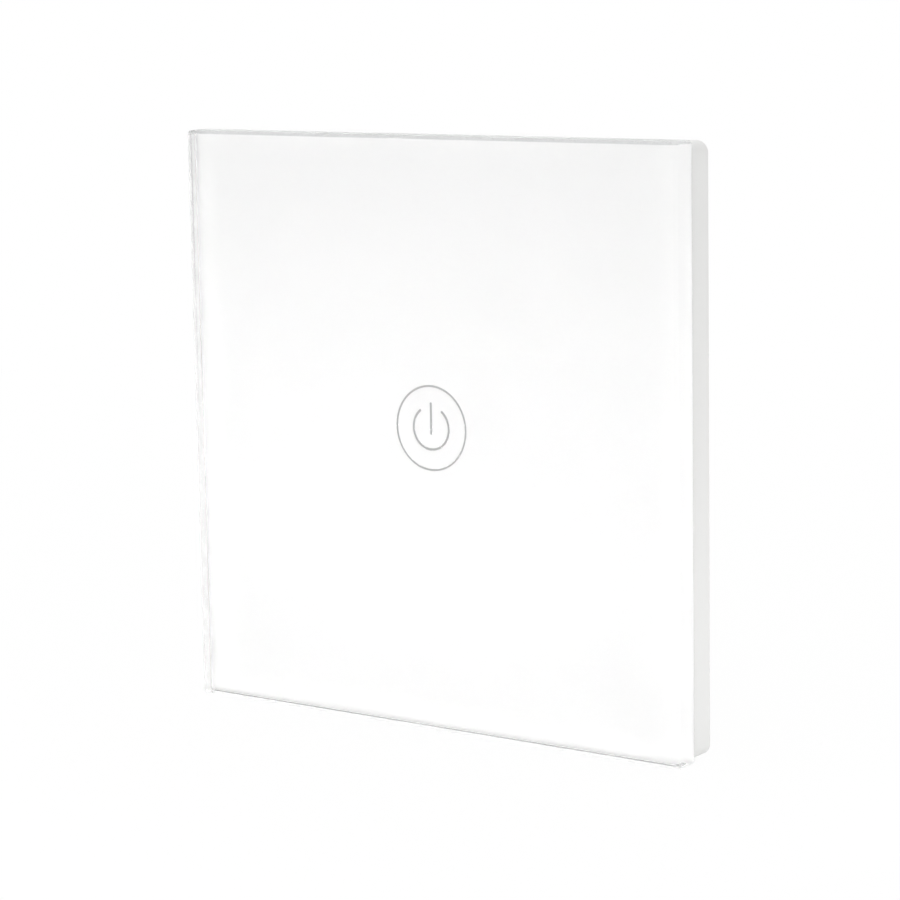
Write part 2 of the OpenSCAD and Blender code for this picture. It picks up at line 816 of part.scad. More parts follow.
module chip_leads() color([0.78, 0.78, 0.76]) {
    chip_legs(touch_chip_at, touch_chip_size, y_link, true);
    chip_legs(power_chip_at, power_chip_size, y_parts, false);
}

module chip_capacitors() color([0.72, 0.6, 0.42])
    for (p = smd_at)
        translate([p[0], y_link, p[1]])
            brick([-smd_size[0] / 2, 0, -smd_size[1] / 2],
                [smd_size[0] / 2, smd_size[2], smd_size[1] / 2]);

module header_strip() color([0.1, 0.1, 0.1])
    slab(y_link, y_power)
        translate([0, link_z])
            difference() {
                square([link_pins * link_pitch, link_pitch], center = true);
                translate([0, -link_z])
                    link_holes();
            }

module header_pins() color([0.85, 0.72, 0.4])
    for (x = link_xs)
        rod([x, link_z], y_touch - link_tail, y_parts + link_end, link_pin_r);

module power_board() color([0.12, 0.42, 0.24])
    slab(y_power, y_parts)
        difference() {
            board_shape();
            link_holes();
            for (p = concat(seated_leads, varistor_leads, fuse_leads))
                translate(p)
                    circle(lead_r + lead_fit);
            for (p = relay_leads)
                translate(p)
                    circle(relay_pin_r + lead_fit);
            for (x = pole_xs)
                translate([x, terminal_pin_z])
                    circle(terminal_pin_r + lead_fit);
        }

module film_capacitor() color([0.85, 0.65, 0.15])
    slab(y_parts, y_parts + film_size[2])
        translate(film_at)
            rounded_rect(film_size[0], film_size[1], film_corner_r);

// A can with a crimped groove near its foot and a rim at its top
module can_shape(r, h)
    rotate([-90, 0, 0])
        rotate_extrude()
            polygon([[0, 0], [r - can_round, 0], [r, can_round], [r, can_groove_at - can_groove],
                [r - can_groove, can_groove_at], [r, can_groove_at + can_groove], [r, h - can_round],
                [r - can_round, h], [r - can_rim, h], [r - can_rim, h - can_top_t],
                [0, h - can_top_t]]);

module electrolytic_capacitors() color([0.1, 0.12, 0.2])
    for (i = [0, 1])
        translate([can_at[i][0], y_parts, can_at[i][1]])
            can_shape(can_r[i], can_h[i]);

module capacitor_tops() color([0.8, 0.8, 0.82])
    for (i = [0, 1])
        rod(can_at[i], y_parts + can_h[i] - can_top_t, y_parts + can_h[i],
            can_r[i] - can_rim - run_fit);

module varistor() color([0.15, 0.3, 0.6])
    translate([varistor_at[0], y_parts + varistor_lift, varistor_at[1]]) {
        translate([-varistor_t / 2, varistor_r, 0])
            rotate([0, 90, 0])
                cylinder(h = varistor_t, r = varistor_r);
        foot = varistor_lead + varistor_foot;
        brick([-varistor_t / 2, 0, -foot], [varistor_t / 2, varistor_r, foot]);
    }

module fuse_resistor() color([0.55, 0.6, 0.55])
    translate([fuse_at[0] - fuse_l / 2, y_parts + fuse_lift + fuse_r, fuse_at[1]])
        rotate([0, 90, 0])
            rotate_extrude()
                polygon([[0, 0], [fuse_r - fuse_round, 0], [fuse_r, fuse_round], [fuse_r, fuse_cap],
                    [fuse_r - fuse_neck, fuse_cap + fuse_slope],
                    [fuse_r - fuse_neck, fuse_l - fuse_cap - fuse_slope],
                    [fuse_r, fuse_l - fuse_cap], [fuse_r, fuse_l - fuse_round],
                    [fuse_r - fuse_round, fuse_l], [0, fuse_l]]);

module bridge_rectifier() color([0.14, 0.14, 0.15])
    translate([bridge_at[0], y_parts, bridge_at[1]])
        brick([-bridge_size[0] / 2, 0, -bridge_size[1] / 2],
            [bridge_size[0] / 2, bridge_size[2], bridge_size[1] / 2]);

module power_inductor() color([0.3, 0.2, 0.15])
    translate([coil_at[0], y_parts, coil_at[1]])
        rotate([-90, 0, 0])
            rotate_extrude()
                polygon([[0, 0], [coil_r, 0], [coil_r, coil_rim],
                    [coil_r - coil_waist, coil_rim + coil_slope],
                    [coil_r - coil_waist, coil_h - coil_rim - coil_slope],
                    [coil_r, coil_h - coil_rim], [coil_r, coil_h], [0, coil_h]]);

module component_leads() color([0.8, 0.8, 0.8]) {
    y_end = y_power - lead_out;
    for (p = seated_leads)
        rod(p, y_end, y_parts, lead_r);
    for (p = varistor_leads)
        rod(p, y_end, y_parts + varistor_lift, lead_r);
    y_axis = y_parts + fuse_lift + fuse_r;
    for (s = [-1, 1])
        translate([fuse_at[0], y_axis, fuse_at[1]])
            rotate([0, 90 - s * 90, 0]) {
                translate([fuse_l / 2, 0, 0])
                    rotate([0, 90, 0])
                        cylinder(h = fuse_bend, r = lead_r);
                translate([fuse_l / 2 + fuse_bend, 0, 0])
                    sphere(lead_r);
                rod([fuse_l / 2 + fuse_bend, 0], y_end - y_axis, 0, lead_r);
            }
}

// Puts a piece of the relay, drawn from the middle of its foot, in its place
module in_relay()
    translate([relay_at[0], y_parts, relay_at[1]])
        children();

module relay_base() color([0.15, 0.15, 0.16])
    in_relay() {
        half_l = relay_in_l / 2 - relay_fit;
        half_w = relay_in_w / 2 - relay_fit;
        slab(0, relay_base_t)
            difference() {
                square([2 * half_l, 2 * half_w], center = true);
                for (p = relay_pin_at)
                    translate(p)
                        circle(relay_pin_r + run_fit);
                translate(contact_pin_at)
                    square([contact_t + 2 * fit, blade_w + 2 * fit], center = true);
            }
    }

module relay_cover() color([0.1, 0.2, 0.42])
    in_relay()
        difference() {
            brick([-relay_l / 2, 0, -relay_w / 2], [relay_l / 2, relay_h, relay_w / 2]);
            brick([-relay_in_l / 2, -cut, -relay_in_w / 2],
                [relay_in_l / 2, relay_h - relay_wall, relay_in_w / 2]);
        }

module relay_bobbin() color([0.85, 0.83, 0.75])
    in_relay()
        difference() {
            union() {
                rod([core_x, 0], h_yoke, h_yoke + flange_t, flange_r);
                rod([core_x, 0], h_yoke, h_yoke + bobbin_h, barrel_r);
                rod([core_x, 0], h_yoke + bobbin_h - flange_t, h_yoke + bobbin_h, flange_r);
            }
            rod([core_x, 0], h_yoke - cut, h_yoke + bobbin_h + cut, core_r + run_fit);
        }

module relay_winding() color([0.72, 0.42, 0.2])
    in_relay()
        difference() {
            rod([core_x, 0], h_yoke + flange_t, h_yoke + bobbin_h - flange_t, winding_r);
            rod([core_x, 0], h_yoke, h_yoke + bobbin_h, barrel_r + run_fit);
        }

module relay_core() color([0.6, 0.61, 0.62])
    in_relay()
        rod([core_x, 0], h_yoke, h_core, core_r);

module relay_yoke() color([0.62, 0.63, 0.64])
    in_relay() {
        brick([core_x - yoke_foot, relay_base_t, -yoke_w / 2],
            [yoke_x + yoke_t, h_yoke, yoke_w / 2]);
        brick([yoke_x, relay_base_t, -yoke_w / 2],
            [yoke_x + yoke_t, h_armature - pivot_gap, yoke_w / 2]);
    }

module relay_armature() color([0.66, 0.67, 0.68])
    in_relay()
        brick([armature_x0, h_armature, -armature_w / 2], [armature_x1, h_blade, armature_w / 2]);

module relay_blade() color([0.78, 0.52, 0.3])
    in_relay() {
        brick([blade_x0, h_blade, -blade_w / 2], [blade_x1, h_blade + blade_t, blade_w / 2]);
        rod([button_x, 0], h_blade + blade_t / 2, h_blade + blade_t + button_h, button_r);
    }

module relay_contact() color([0.8, 0.62, 0.35])
    in_relay() {
        h_strip = h_contact + rivet_h;
        rod([button_x, 0], h_contact, h_strip + contact_t / 2, button_r);
        brick([contact_x0, h_strip, -blade_w / 2],
            [contact_x1 + contact_t, h_strip + contact_t, blade_w / 2]);
        brick([contact_x1, 0, -blade_w / 2],
            [contact_x1 + contact_t, h_strip + contact_t, blade_w / 2]);
        rod(contact_pin_at, -power_t - lead_out, 0, relay_pin_r);
    }

module relay_pins() color([0.8, 0.8, 0.78])
    in_relay()
        for (p = relay_pin_at)
            rod(p, -power_t - lead_out, relay_base_t, relay_pin_r);

module terminal_block() color([0.2, 0.45, 0.3])
    difference() {
        brick([-block_w / 2, y_parts, block_z0], [block_w / 2, y_block, block_z1]);
        for (x = pole_xs) {
            brick([x - cage_w / 2 - fit, y_pit, pit_z0],
                [x + cage_w / 2 + fit, y_pit_end, pit_z1]);
            brick([x - bar_w / 2 - fit, y_parts - cut, pit_z1 - cut],
                [x + bar_w / 2 + fit, y_bar + bar_t + fit, bar_z1 + fit]);
            rod([x, pole_z], y_pit_end - cut, y_block + cut, clamp_head_r + fit);
            translate([x, wire_y, block_z0 - cut])
                cylinder(h = pit_z0 - block_z0 + 2 * cut, r = wire_r);
        }
    }

module terminal_bars() color([0.82, 0.6, 0.3])
    for (x = pole_xs) {
        brick([x - bar_w / 2, y_bar, bar_z0], [x + bar_w / 2, y_bar + bar_t, bar_z1]);
        brick([x - bar_w / 2, y_parts, bar_z1 - bar_leg], [x + bar_w / 2, y_bar + bar_t, bar_z1]);
        rod([x, terminal_pin_z], y_power - lead_out, y_parts + bar_t, terminal_pin_r);
    }

module terminal_screw(i) color([0.75, 0.76, 0.77])
    difference() {
        union() {
            rod([pole_xs[i], pole_z], y_head, y_head + clamp_head_h, clamp_head_r);
            rod([pole_xs[i], pole_z], y_bar + bar_t + clamp_tip_gap, y_head + clamp_head_h / 2,
                clamp_screw_r);
        }
        brick([pole_xs[i] - clamp_head_r - cut, y_head + clamp_head_h / 2, pole_z - slot_half],
            [pole_xs[i] + clamp_head_r + cut, y_head + clamp_head_h + cut, pole_z + slot_half]);
    }

module terminal_cage(i) color([0.7, 0.7, 0.66])
    translate([pole_xs[i], 0, pole_z])
        difference() {
            brick([-cage_w / 2, y_cage, -cage_l / 2], [cage_w / 2, y_roof + cage_roof, cage_l / 2]);
            brick([-cage_window / 2, y_cage + cage_t, -cage_l / 2 - cut],
                [cage_window / 2, y_roof, cage_l / 2 + cut]);
            rod([0, 0], y_roof - cut, y_roof + cage_roof + cut, clamp_screw_r + run_fit);
        }

glass_panel();
back_print();
icon_print();
panel_tape();
panel_frame();
panel_clips();
clip_rivets();
mounting_chassis();
module_cover();
rear_housing();
housing_screws();
touch_board();
touch_spring();
light_guide();
indicator_leds();
touch_chip();
chip_leads();
chip_capacitors();
header_strip();
header_pins();
power_board();
film_capacitor();
electrolytic_capacitors();
capacitor_tops();
varistor();
fuse_resistor();
bridge_rectifier();
power_inductor();
power_chip();
component_leads();
relay_base();
relay_cover();
relay_bobbin();
relay_winding();
relay_core();
relay_yoke();
relay_armature();
relay_blade();
relay_contact();
relay_pins();
terminal_block();
terminal_bars();
for (i = [0 : 2]) {
    terminal_screw(i);
    terminal_cage(i);
}
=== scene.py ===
"""Touch light switch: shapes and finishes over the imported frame.

A clear glass panel, printed white on its back, sits on a clip-on frame. Behind it a chassis carries the
touch module, and the rear housing holds the boards, the relay and the wire terminals.
"""

import logging
import math
from collections.abc import Callable, Iterator, Mapping, Sequence
from contextlib import contextmanager
from dataclasses import dataclass
from enum import Enum
from functools import cache

import bmesh
import bpy
from mathutils import Matrix, Vector


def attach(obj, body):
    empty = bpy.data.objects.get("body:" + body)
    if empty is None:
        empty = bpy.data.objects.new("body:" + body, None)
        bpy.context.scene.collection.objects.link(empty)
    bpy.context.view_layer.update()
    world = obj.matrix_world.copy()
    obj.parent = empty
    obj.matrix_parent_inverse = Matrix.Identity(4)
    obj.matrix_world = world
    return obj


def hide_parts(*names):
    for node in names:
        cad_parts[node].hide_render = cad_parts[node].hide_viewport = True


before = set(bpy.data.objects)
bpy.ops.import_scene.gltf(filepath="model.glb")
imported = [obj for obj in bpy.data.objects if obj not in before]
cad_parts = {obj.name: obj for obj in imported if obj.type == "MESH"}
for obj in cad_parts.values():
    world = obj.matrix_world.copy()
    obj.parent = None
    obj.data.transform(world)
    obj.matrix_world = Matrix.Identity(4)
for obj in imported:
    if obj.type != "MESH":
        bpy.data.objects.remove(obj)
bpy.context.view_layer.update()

MM = 0.001
NEAR = 2e-6
PLASTIC_IOR = 1.49
GLASS_IOR = 1.5

Triple = tuple[float, float, float]
Colour = Triple
Span = tuple[float, float]
Corner = Sequence[float]
PlaceTest = Callable[[Vector, Vector], bool]
NodeRow = tuple[str, str] | tuple[str, str, float, int]

log = logging.getLogger("touch_switch")


class Body(Enum):
    """The bodies that the modelled pieces ride on."""

    CHASSIS = "chassis"
    PANEL = "front_panel"


class Axis(Enum):
    """An axis of the object: across, into the wall, up."""

    ACROSS = 0
    DEPTH = 1
    UP = 2


class Bench:
    """Modelling moves for one piece at a time. Sizes come in millimetres, angles in degrees."""

    SHARP = 35.0
    FACING = 0.9
    FLAT_WEIGHT = 80

    @staticmethod
    def clear() -> None:
        """Deselects everything, in object mode."""
        if bpy.context.object and bpy.context.object.mode != "OBJECT":
            bpy.ops.object.mode_set(mode="OBJECT")
        bpy.ops.object.select_all(action="DESELECT")

    @staticmethod
    def hold(piece: bpy.types.Object) -> None:
        """Makes a piece the only selected object, and the active one.

        Args:
            piece: The piece.
        """
        Bench.clear()
        piece.select_set(True)
        bpy.context.view_layer.objects.active = piece

    @staticmethod
    def start(name: str) -> bpy.types.Object:
        """Names the new primitive and puts its place into its mesh.

        Args:
            name: Name of the piece.

        Returns:
            The new object, at the origin.
        """
        piece = bpy.context.object
        piece.name = piece.data.name = name
        bpy.ops.object.transform_apply(location=True, rotation=True, scale=True)
        return piece

    @staticmethod
    def block(name: str, low: Corner, high: Corner) -> bpy.types.Object:
        """Starts a piece from a block.

        Args:
            name: Name of the piece.
            low: Lowest corner.
            high: Highest corner.

        Returns:
            The new object, at the origin, with its place in its mesh.
        """
        Bench.clear()
        lowest, highest = Vector(low) * MM, Vector(high) * MM
        bpy.ops.mesh.primitive_cube_add(size=1.0, location=(lowest + highest) / 2)
        bpy.context.object.scale = highest - lowest
        return Bench.start(name)

    @staticmethod
    @contextmanager
    def editing(piece: bpy.types.Object) -> Iterator[None]:
        """Opens a piece in edit mode with nothing picked, and closes it again.

        Args:
            piece: The piece.

        Yields:
            Nothing.
        """
        Bench.hold(piece)
        bpy.ops.object.mode_set(mode="EDIT")
        bpy.ops.mesh.select_all(action="DESELECT")
        yield
        bpy.ops.object.mode_set(mode="OBJECT")

    @staticmethod
    @contextmanager
    def picking(piece: bpy.types.Object, kind: str) -> Iterator[bmesh.types.BMesh]:
        """Lends the mesh of an open piece, to pick faces or edges of it in place of what was picked.

        Args:
            piece: The piece that is open.
            kind: FACE or EDGE.

        Yields:
            Its mesh.
        """
        bpy.ops.mesh.select_mode(type=kind)
        bpy.ops.mesh.select_all(action="DESELECT")
        yield bmesh.from_edit_mesh(piece.data)
        bmesh.update_edit_mesh(piece.data)

    @staticmethod
    def pick_faces(piece: bpy.types.Object, test: PlaceTest) -> None:
        """Picks faces in edit mode.

        Args:
            piece: The piece that is open.
            test: Says from a face's middle, in metres, and its normal whether it is picked.
        """
        with Bench.picking(piece, "FACE") as shape:
            for face in shape.faces:
                if test(face.calc_center_median(), face.normal):
                    face.select_set(True)

    @staticmethod
    def pick_edges(piece: bpy.types.Object, test: PlaceTest) -> None:
        """Picks edges in edit mode.

        Args:
            piece: The piece that is open.
            test: Says from an edge's two ends, in metres, whether it is picked.
        """
        with Bench.picking(piece, "EDGE") as shape:
            for edge in shape.edges:
                if test(edge.verts[0].co, edge.verts[1].co):
                    edge.select_set(True)

    @staticmethod
    def faces_depth(middle: Vector, normal: Vector) -> bool:
        """True for a face that looks along the depth."""
        return abs(normal.y) > Bench.FACING

    @staticmethod
    def along_depth(a: Vector, b: Vector) -> bool:
        """True for an edge that runs straight into the wall."""
        return abs(a.x - b.x) < NEAR and abs(a.z - b.z) < NEAR

    @staticmethod
    def flip() -> None:
        """Turns all faces of the open piece round."""
        bpy.ops.mesh.select_all(action="SELECT")
        bpy.ops.mesh.flip_normals()

    @staticmethod
    def round_corners(piece: bpy.types.Object, radius: float, segments: int) -> None:
        """Rounds the edges of a block that run into the wall.

        Args:
            piece: The block.
            radius: Radius of the rounding.
            segments: Number of flats in each corner.
        """
        with Bench.editing(piece):
            Bench.pick_edges(piece, Bench.along_depth)
            bpy.ops.mesh.bevel(offset=radius * MM, segments=segments, affect="EDGES", clamp_overlap=False)

    @staticmethod
    def apply(piece: bpy.types.Object) -> None:
        """Applies all modifiers of a piece, in their order.

        Args:
            piece: The piece, which is held afterwards.
        """
        Bench.hold(piece)
        for name in [modifier.name for modifier in piece.modifiers]:
            bpy.ops.object.modifier_apply(modifier=name)

    @staticmethod
    def carve(piece: bpy.types.Object, cutter: bpy.types.Object) -> None:
        """Cuts a cutter out of a piece, and removes the cutter.

        Args:
            piece: The piece.
            cutter: The shape to cut out.
        """
        cut = piece.modifiers.new("carve", "BOOLEAN")
        cut.operation = "DIFFERENCE"
        cut.solver = "EXACT"
        cut.object = cutter
        Bench.apply(piece)
        bpy.data.objects.remove(cutter)

    @staticmethod
    def join(piece: bpy.types.Object, others: Sequence[bpy.types.Object]) -> None:
        """Makes other objects part of a piece.

        Args:
            piece: The piece.
            others: The objects, which are gone afterwards.
        """
        Bench.hold(piece)
        for other in others:
            other.select_set(True)
        bpy.ops.object.join()

    @staticmethod
    def copy(piece: bpy.types.Object, name: str, change: Matrix) -> bpy.types.Object:
        """Copies a piece with a mesh of its own.

        Args:
            piece: The piece to copy.
            name: Name of the copy.
            change: Where the copy goes, from where the piece is.

        Returns:
            The copy, at the origin, with its place in its mesh.
        """
        twin = piece.copy()
        twin.data = piece.data.copy()
        twin.name = twin.data.name = name
        bpy.context.collection.objects.link(twin)
        twin.data.transform(change)
        if change.determinant() < 0:
            with Bench.editing(twin):
                Bench.flip()
        return twin

    @staticmethod
    def bevel(piece: bpy.types.Object, width: float, segments: int, angle: float = SHARP) -> None:
        """Adds a modifier that rounds sharp edges.

        Args:
            piece: The piece.
            width: Width of the rounding.
            segments: Number of flats in it.
            angle: Edges that turn further than this are rounded.
        """
        edge = piece.modifiers.new("edge", "BEVEL")
        edge.limit_method = "ANGLE"
        edge.angle_limit = math.radians(angle)
        edge.width = width * MM
        edge.segments = segments
        edge.use_clamp_overlap = True

    @staticmethod
    def edge_modifiers(piece: bpy.types.Object, width: float, segments: int) -> None:
        """Adds the modifiers that round sharp edges and keep flat faces flat.

        Args:
            piece: The piece.
            width: Width of the rounding.
            segments: Number of flats in it.
        """
        Bench.bevel(piece, width, segments)
        even = piece.modifiers.new("even", "WEIGHTED_NORMAL")
        even.keep_sharp = True
        even.weight = Bench.FLAT_WEIGHT

    @staticmethod
    def soften(piece: bpy.types.Object, width: float, segments: int = 2) -> None:
        """Rounds the sharp edges of a finished piece and evens its shading.

        Args:
            piece: The piece.
            width: Width of the rounding.
            segments: Number of flats in it.
        """
        Bench.hold(piece)
        bpy.ops.object.shade_smooth()
        Bench.edge_modifiers(piece, width, segments)
        Bench.apply(piece)

    @staticmethod
    def soften_node(node: bpy.types.Object, width: float, segments: int = 2) -> None:
        """Rounds the sharp edges of a frame node with live modifiers.

        Args:
            node: The node's object.
            width: Width of the rounding.
            segments: Number of flats in it.
        """
        merge = node.modifiers.new("merge", "WELD")
        merge.merge_threshold = NEAR
        Bench.edge_modifiers(node, width, segments)


class Sheet:
    """A node tree that is being laid out."""

    USUAL = (0.2, 0.8)

    def __init__(self, tree: bpy.types.NodeTree) -> None:
        """Starts on an empty tree."""
        self.tree = tree
        tree.nodes.clear()

    def put(
        self, kind: str, takes: Mapping[str, object] | Mapping[int, object] | None = None, **settings: object
    ) -> bpy.types.Node:
        """Adds a node.

        Args:
            kind: Blender's name of the node type.
            takes: What goes into its inputs, by name or number.
            **settings: Properties of the node.

        Returns:
            The node.
        """
        node = self.tree.nodes.new(kind)
        for key, value in settings.items():
            setattr(node, key, value)
        for key, value in (takes or {}).items():
            self.feed(node.inputs[key], value)
        return node

    def feed(self, socket: bpy.types.NodeSocket, value: object) -> None:
        """Links a value to a socket if it is a socket itself, and otherwise sets it.

        Args:
            socket: The socket that takes it.
            value: A socket, a number or a colour.
        """
        if isinstance(value, bpy.types.NodeSocket):
            self.tree.links.new(value, socket)
        elif isinstance(value, tuple) and len(value) == 3 and socket.type == "RGBA":
            socket.default_value = (*value, 1.0)
        else:
            socket.default_value = value

    def place(self, stretch: Triple = (1.0, 1.0, 1.0)) -> bpy.types.NodeSocket:
        """Object coordinates.

        Args:
            stretch: Factor for each axis.

        Returns:
            The socket with the coordinates.
        """
        source = self.put("ShaderNodeTexCoord").outputs["Object"]
        if stretch == (1.0, 1.0, 1.0):
            return source
        return self.put("ShaderNodeMapping", {"Vector": source, "Scale": stretch}).outputs["Vector"]

    def axis(self, axis: Axis) -> bpy.types.NodeSocket:
        """One object coordinate, in metres."""
        return self.put("ShaderNodeSeparateXYZ", {0: self.place()}).outputs[axis.value]

    def reach(self) -> bpy.types.NodeSocket:
        """How far a point is from the middle of the front, across or up, whichever is more."""
        across, up = (self.math("ABSOLUTE", self.axis(axis)) for axis in (Axis.ACROSS, Axis.UP))
        return self.math("MAXIMUM", across, up)

    def math(self, operation: str, a: object, b: object = 0.0, clamp: bool = False) -> bpy.types.NodeSocket:
        """One sum of two numbers or sockets, kept between 0 and 1 if clamp is true."""
        return self.put("ShaderNodeMath", {0: a, 1: b}, operation=operation, use_clamp=clamp).outputs[0]

    def noise(
        self, place: object, scale: object, detail: float = 2.0, rough: float = 0.5
    ) -> bpy.types.NodeSocket:
        """Soft noise from 0 to 1, with scale per metre."""
        takes = {"Vector": place, "Scale": scale, "Detail": detail, "Roughness": rough}
        return self.put("ShaderNodeTexNoise", takes).outputs[0]

    def ramp(
        self, value: object, low: float, high: float, start: float = 0.0, end: float = 1.0
    ) -> bpy.types.NodeSocket:
        """Carries a value from low..high over to start..end, and stops there."""
        takes = {"Value": value, "From Min": low, "From Max": high, "To Min": start, "To Max": end}
        return self.put("ShaderNodeMapRange", takes, clamp=True).outputs[0]

    def spread(self, noise: object, start: float, end: float) -> bpy.types.NodeSocket:
        """Carries the range where most of a noise lies over to start..end."""
        return self.ramp(noise, *self.USUAL, start, end)

    def mix(self, share: object, a: object, b: object) -> bpy.types.NodeSocket:
        """Mixes colour a with share of colour b."""
        return self.put("ShaderNodeMix", {0: share, 6: a, 7: b}, data_type="RGBA").outputs[2]

    def blend(self, share: object, a: bpy.types.Node, b: bpy.types.Node) -> bpy.types.NodeSocket:
        """Mixes shader a with share of shader b."""
        return self.put("ShaderNodeMixShader", {0: share, 1: a.outputs[0], 2: b.outputs[0]}).outputs[0]

    def relief(self, height: object, strength: float, depth: float) -> bpy.types.NodeSocket:
        """A bumped normal from a height, with depth in millimetres."""
        takes = {"Strength": strength, "Distance": depth * MM, "Height": height}
        return self.put("ShaderNodeBump", takes).outputs["Normal"]

    def use(self, group: bpy.types.NodeTree, takes: Mapping[str, float]) -> Mapping[str, bpy.types.NodeSocket]:
        """Places a node group with its own values by name, and gives its outputs."""
        return self.put("ShaderNodeGroup", takes, node_tree=group).outputs


class Effects:
    """Shared surface effects. Each is a node group that is built once, and takes one number."""

    CLOUD_SCALE = 45.0
    CLOUD = (0.3, 0.7)
    GLOSS_SCALE = 110.0
    GLOSS = (0.35, 0.7)
    DRAWN = (1.0, 1.0, 0.08)
    PIT_SCALE = 5200.0
    TARNISH_SCALE = 260.0
    TARNISH = (0.42, 0.72)
    SMEAR_SCALE = 1500.0
    FILM = (0.5, 0.8)
    FLAT = (1.0, 0.0, 1.0)
    SCATTER = 0.55
    TRACK = (0.06, 0.1)
    PAD = (0.13, 0.16)
    WEAVE_SCALE = 2600.0

    @staticmethod
    def start(
        name: str, takes: str, usual: float, gives: Sequence[str]
    ) -> tuple[Sheet, bpy.types.NodeSocket, Mapping[str, bpy.types.NodeSocket]]:
        """Opens a new node group.

        Args:
            name: Name of the group.
            takes: Name of its input.
            usual: Usual value of its input.
            gives: Names of its outputs.

        Returns:
            The sheet to lay it out on, the socket of its input and the sockets of its outputs.
        """
        tree = bpy.data.node_groups.new(name, "ShaderNodeTree")
        tree.interface.new_socket(takes, in_out="INPUT", socket_type="NodeSocketFloat").default_value = usual
        for label in gives:
            tree.interface.new_socket(label, in_out="OUTPUT", socket_type="NodeSocketFloat")
        sheet = Sheet(tree)
        return sheet, sheet.put("NodeGroupInput").outputs[0], sheet.put("NodeGroupOutput").inputs

    @staticmethod
    @cache
    def moulded_skin() -> bpy.types.NodeTree:
        """Fine grain of a moulded face, with slow clouds of tone and gloss.

        Returns:
            The node group.
        """
        sheet, scale, gives = Effects.start("moulded_skin", "Grain Scale", 3000.0, ["Grain", "Cloud", "Gloss"])
        place = sheet.place()
        cloud = sheet.noise(place, Effects.CLOUD_SCALE)
        gloss = sheet.noise(place, Effects.GLOSS_SCALE, detail=3.0, rough=0.65)
        sheet.feed(gives["Grain"], sheet.noise(place, scale, detail=3.0, rough=0.6))
        sheet.feed(gives["Cloud"], sheet.ramp(cloud, *Effects.CLOUD))
        sheet.feed(gives["Gloss"], sheet.ramp(gloss, *Effects.GLOSS))
        return sheet.tree

    @staticmethod
    @cache
    def metal_skin() -> bpy.types.NodeTree:
        """Drawn streaks, small pits and tarnish of a plated metal face.

        Returns:
            The node group.
        """
        sheet, scale, gives = Effects.start("metal_skin", "Streak Scale", 900.0, ["Streak", "Pits", "Tarnish"])
        tarnish = sheet.noise(sheet.place(), Effects.TARNISH_SCALE, detail=4.0, rough=0.6)
        sheet.feed(gives["Streak"], sheet.noise(sheet.place(Effects.DRAWN), scale, detail=3.0, rough=0.7))
        sheet.feed(gives["Pits"], sheet.noise(sheet.place(), Effects.PIT_SCALE, rough=0.6))
        sheet.feed(gives["Tarnish"], sheet.ramp(tarnish, *Effects.TARNISH))
        return sheet.tree

    @staticmethod
    @cache
    def finger_film() -> bpy.types.NodeTree:
        """Faint film where the glass has been handled.

        Returns:
            The node group.
        """
        sheet, size, gives = Effects.start("finger_film", "Size", 60.0, ["Film"])
        broad = sheet.noise(sheet.place(), size, detail=4.0, rough=0.55)
        fine = sheet.noise(sheet.place(), Effects.SMEAR_SCALE)
        sheet.feed(gives["Film"], sheet.math("MULTIPLY", sheet.ramp(broad, *Effects.FILM), fine))
        return sheet.tree

    @staticmethod
    @cache
    def board_copper() -> bpy.types.NodeTree:
        """Tracks and round pads under the lacquer of a board.

        Returns:
            The node group.
        """
        sheet, cells, gives = Effects.start("board_copper", "Cells", 240.0, ["Track", "Pad", "Weave"])
        takes = {"Vector": sheet.place(Effects.FLAT), "Scale": cells, "Randomness": Effects.SCATTER}
        for give, feature, span in (
            ("Track", "DISTANCE_TO_EDGE", Effects.TRACK),
            ("Pad", "F1", Effects.PAD),
        ):
            pattern = sheet.put("ShaderNodeTexVoronoi", takes, feature=feature, voronoi_dimensions="3D")
            sheet.feed(gives[give], sheet.ramp(pattern.outputs[0], *span, 1.0, 0.0))
        sheet.feed(gives["Weave"], sheet.noise(sheet.place(), Effects.WEAVE_SCALE, detail=1.0))
        return sheet.tree

    @staticmethod
    @cache
    def wire_turns() -> bpy.types.NodeTree:
        """Turns of wire laid side by side along the depth.

        Returns:
            The node group.
        """
        sheet, turns, gives = Effects.start("wire_turns", "Turns", 5000.0, ["Turn"])
        wave = sheet.math("SINE", sheet.math("MULTIPLY", sheet.axis(Axis.DEPTH), turns))
        sheet.feed(gives["Turn"], sheet.ramp(wave, -1.0, 1.0))
        return sheet.tree


class Coat(Sheet):
    """The node sheet of a material, with its one Principled shader."""

    def __init__(self, name: str) -> None:
        """Starts a material.

        Args:
            name: Name of the material.
        """
        self.material = bpy.data.materials.new(name)
        self.material.use_nodes = True
        super().__init__(self.material.node_tree)
        self.shader = self.put("ShaderNodeBsdfPrincipled")
        self.put("ShaderNodeOutputMaterial", {"Surface": self.shader.outputs[0]})

    def finish(self, **values: object) -> bpy.types.Material:
        """Sets or links sockets of the shader.

        Args:
            **values: What goes into them. An underscore stands for a space.

        Returns:
            The finished material.
        """
        for key, value in values.items():
            self.feed(self.shader.inputs[key.replace("_", " ")], value)
        return self.material


def shade(colour: Colour, factor: float) -> Colour:
    """The colour, darker or lighter by a factor."""
    return (colour[0] * factor, colour[1] * factor, colour[2] * factor)


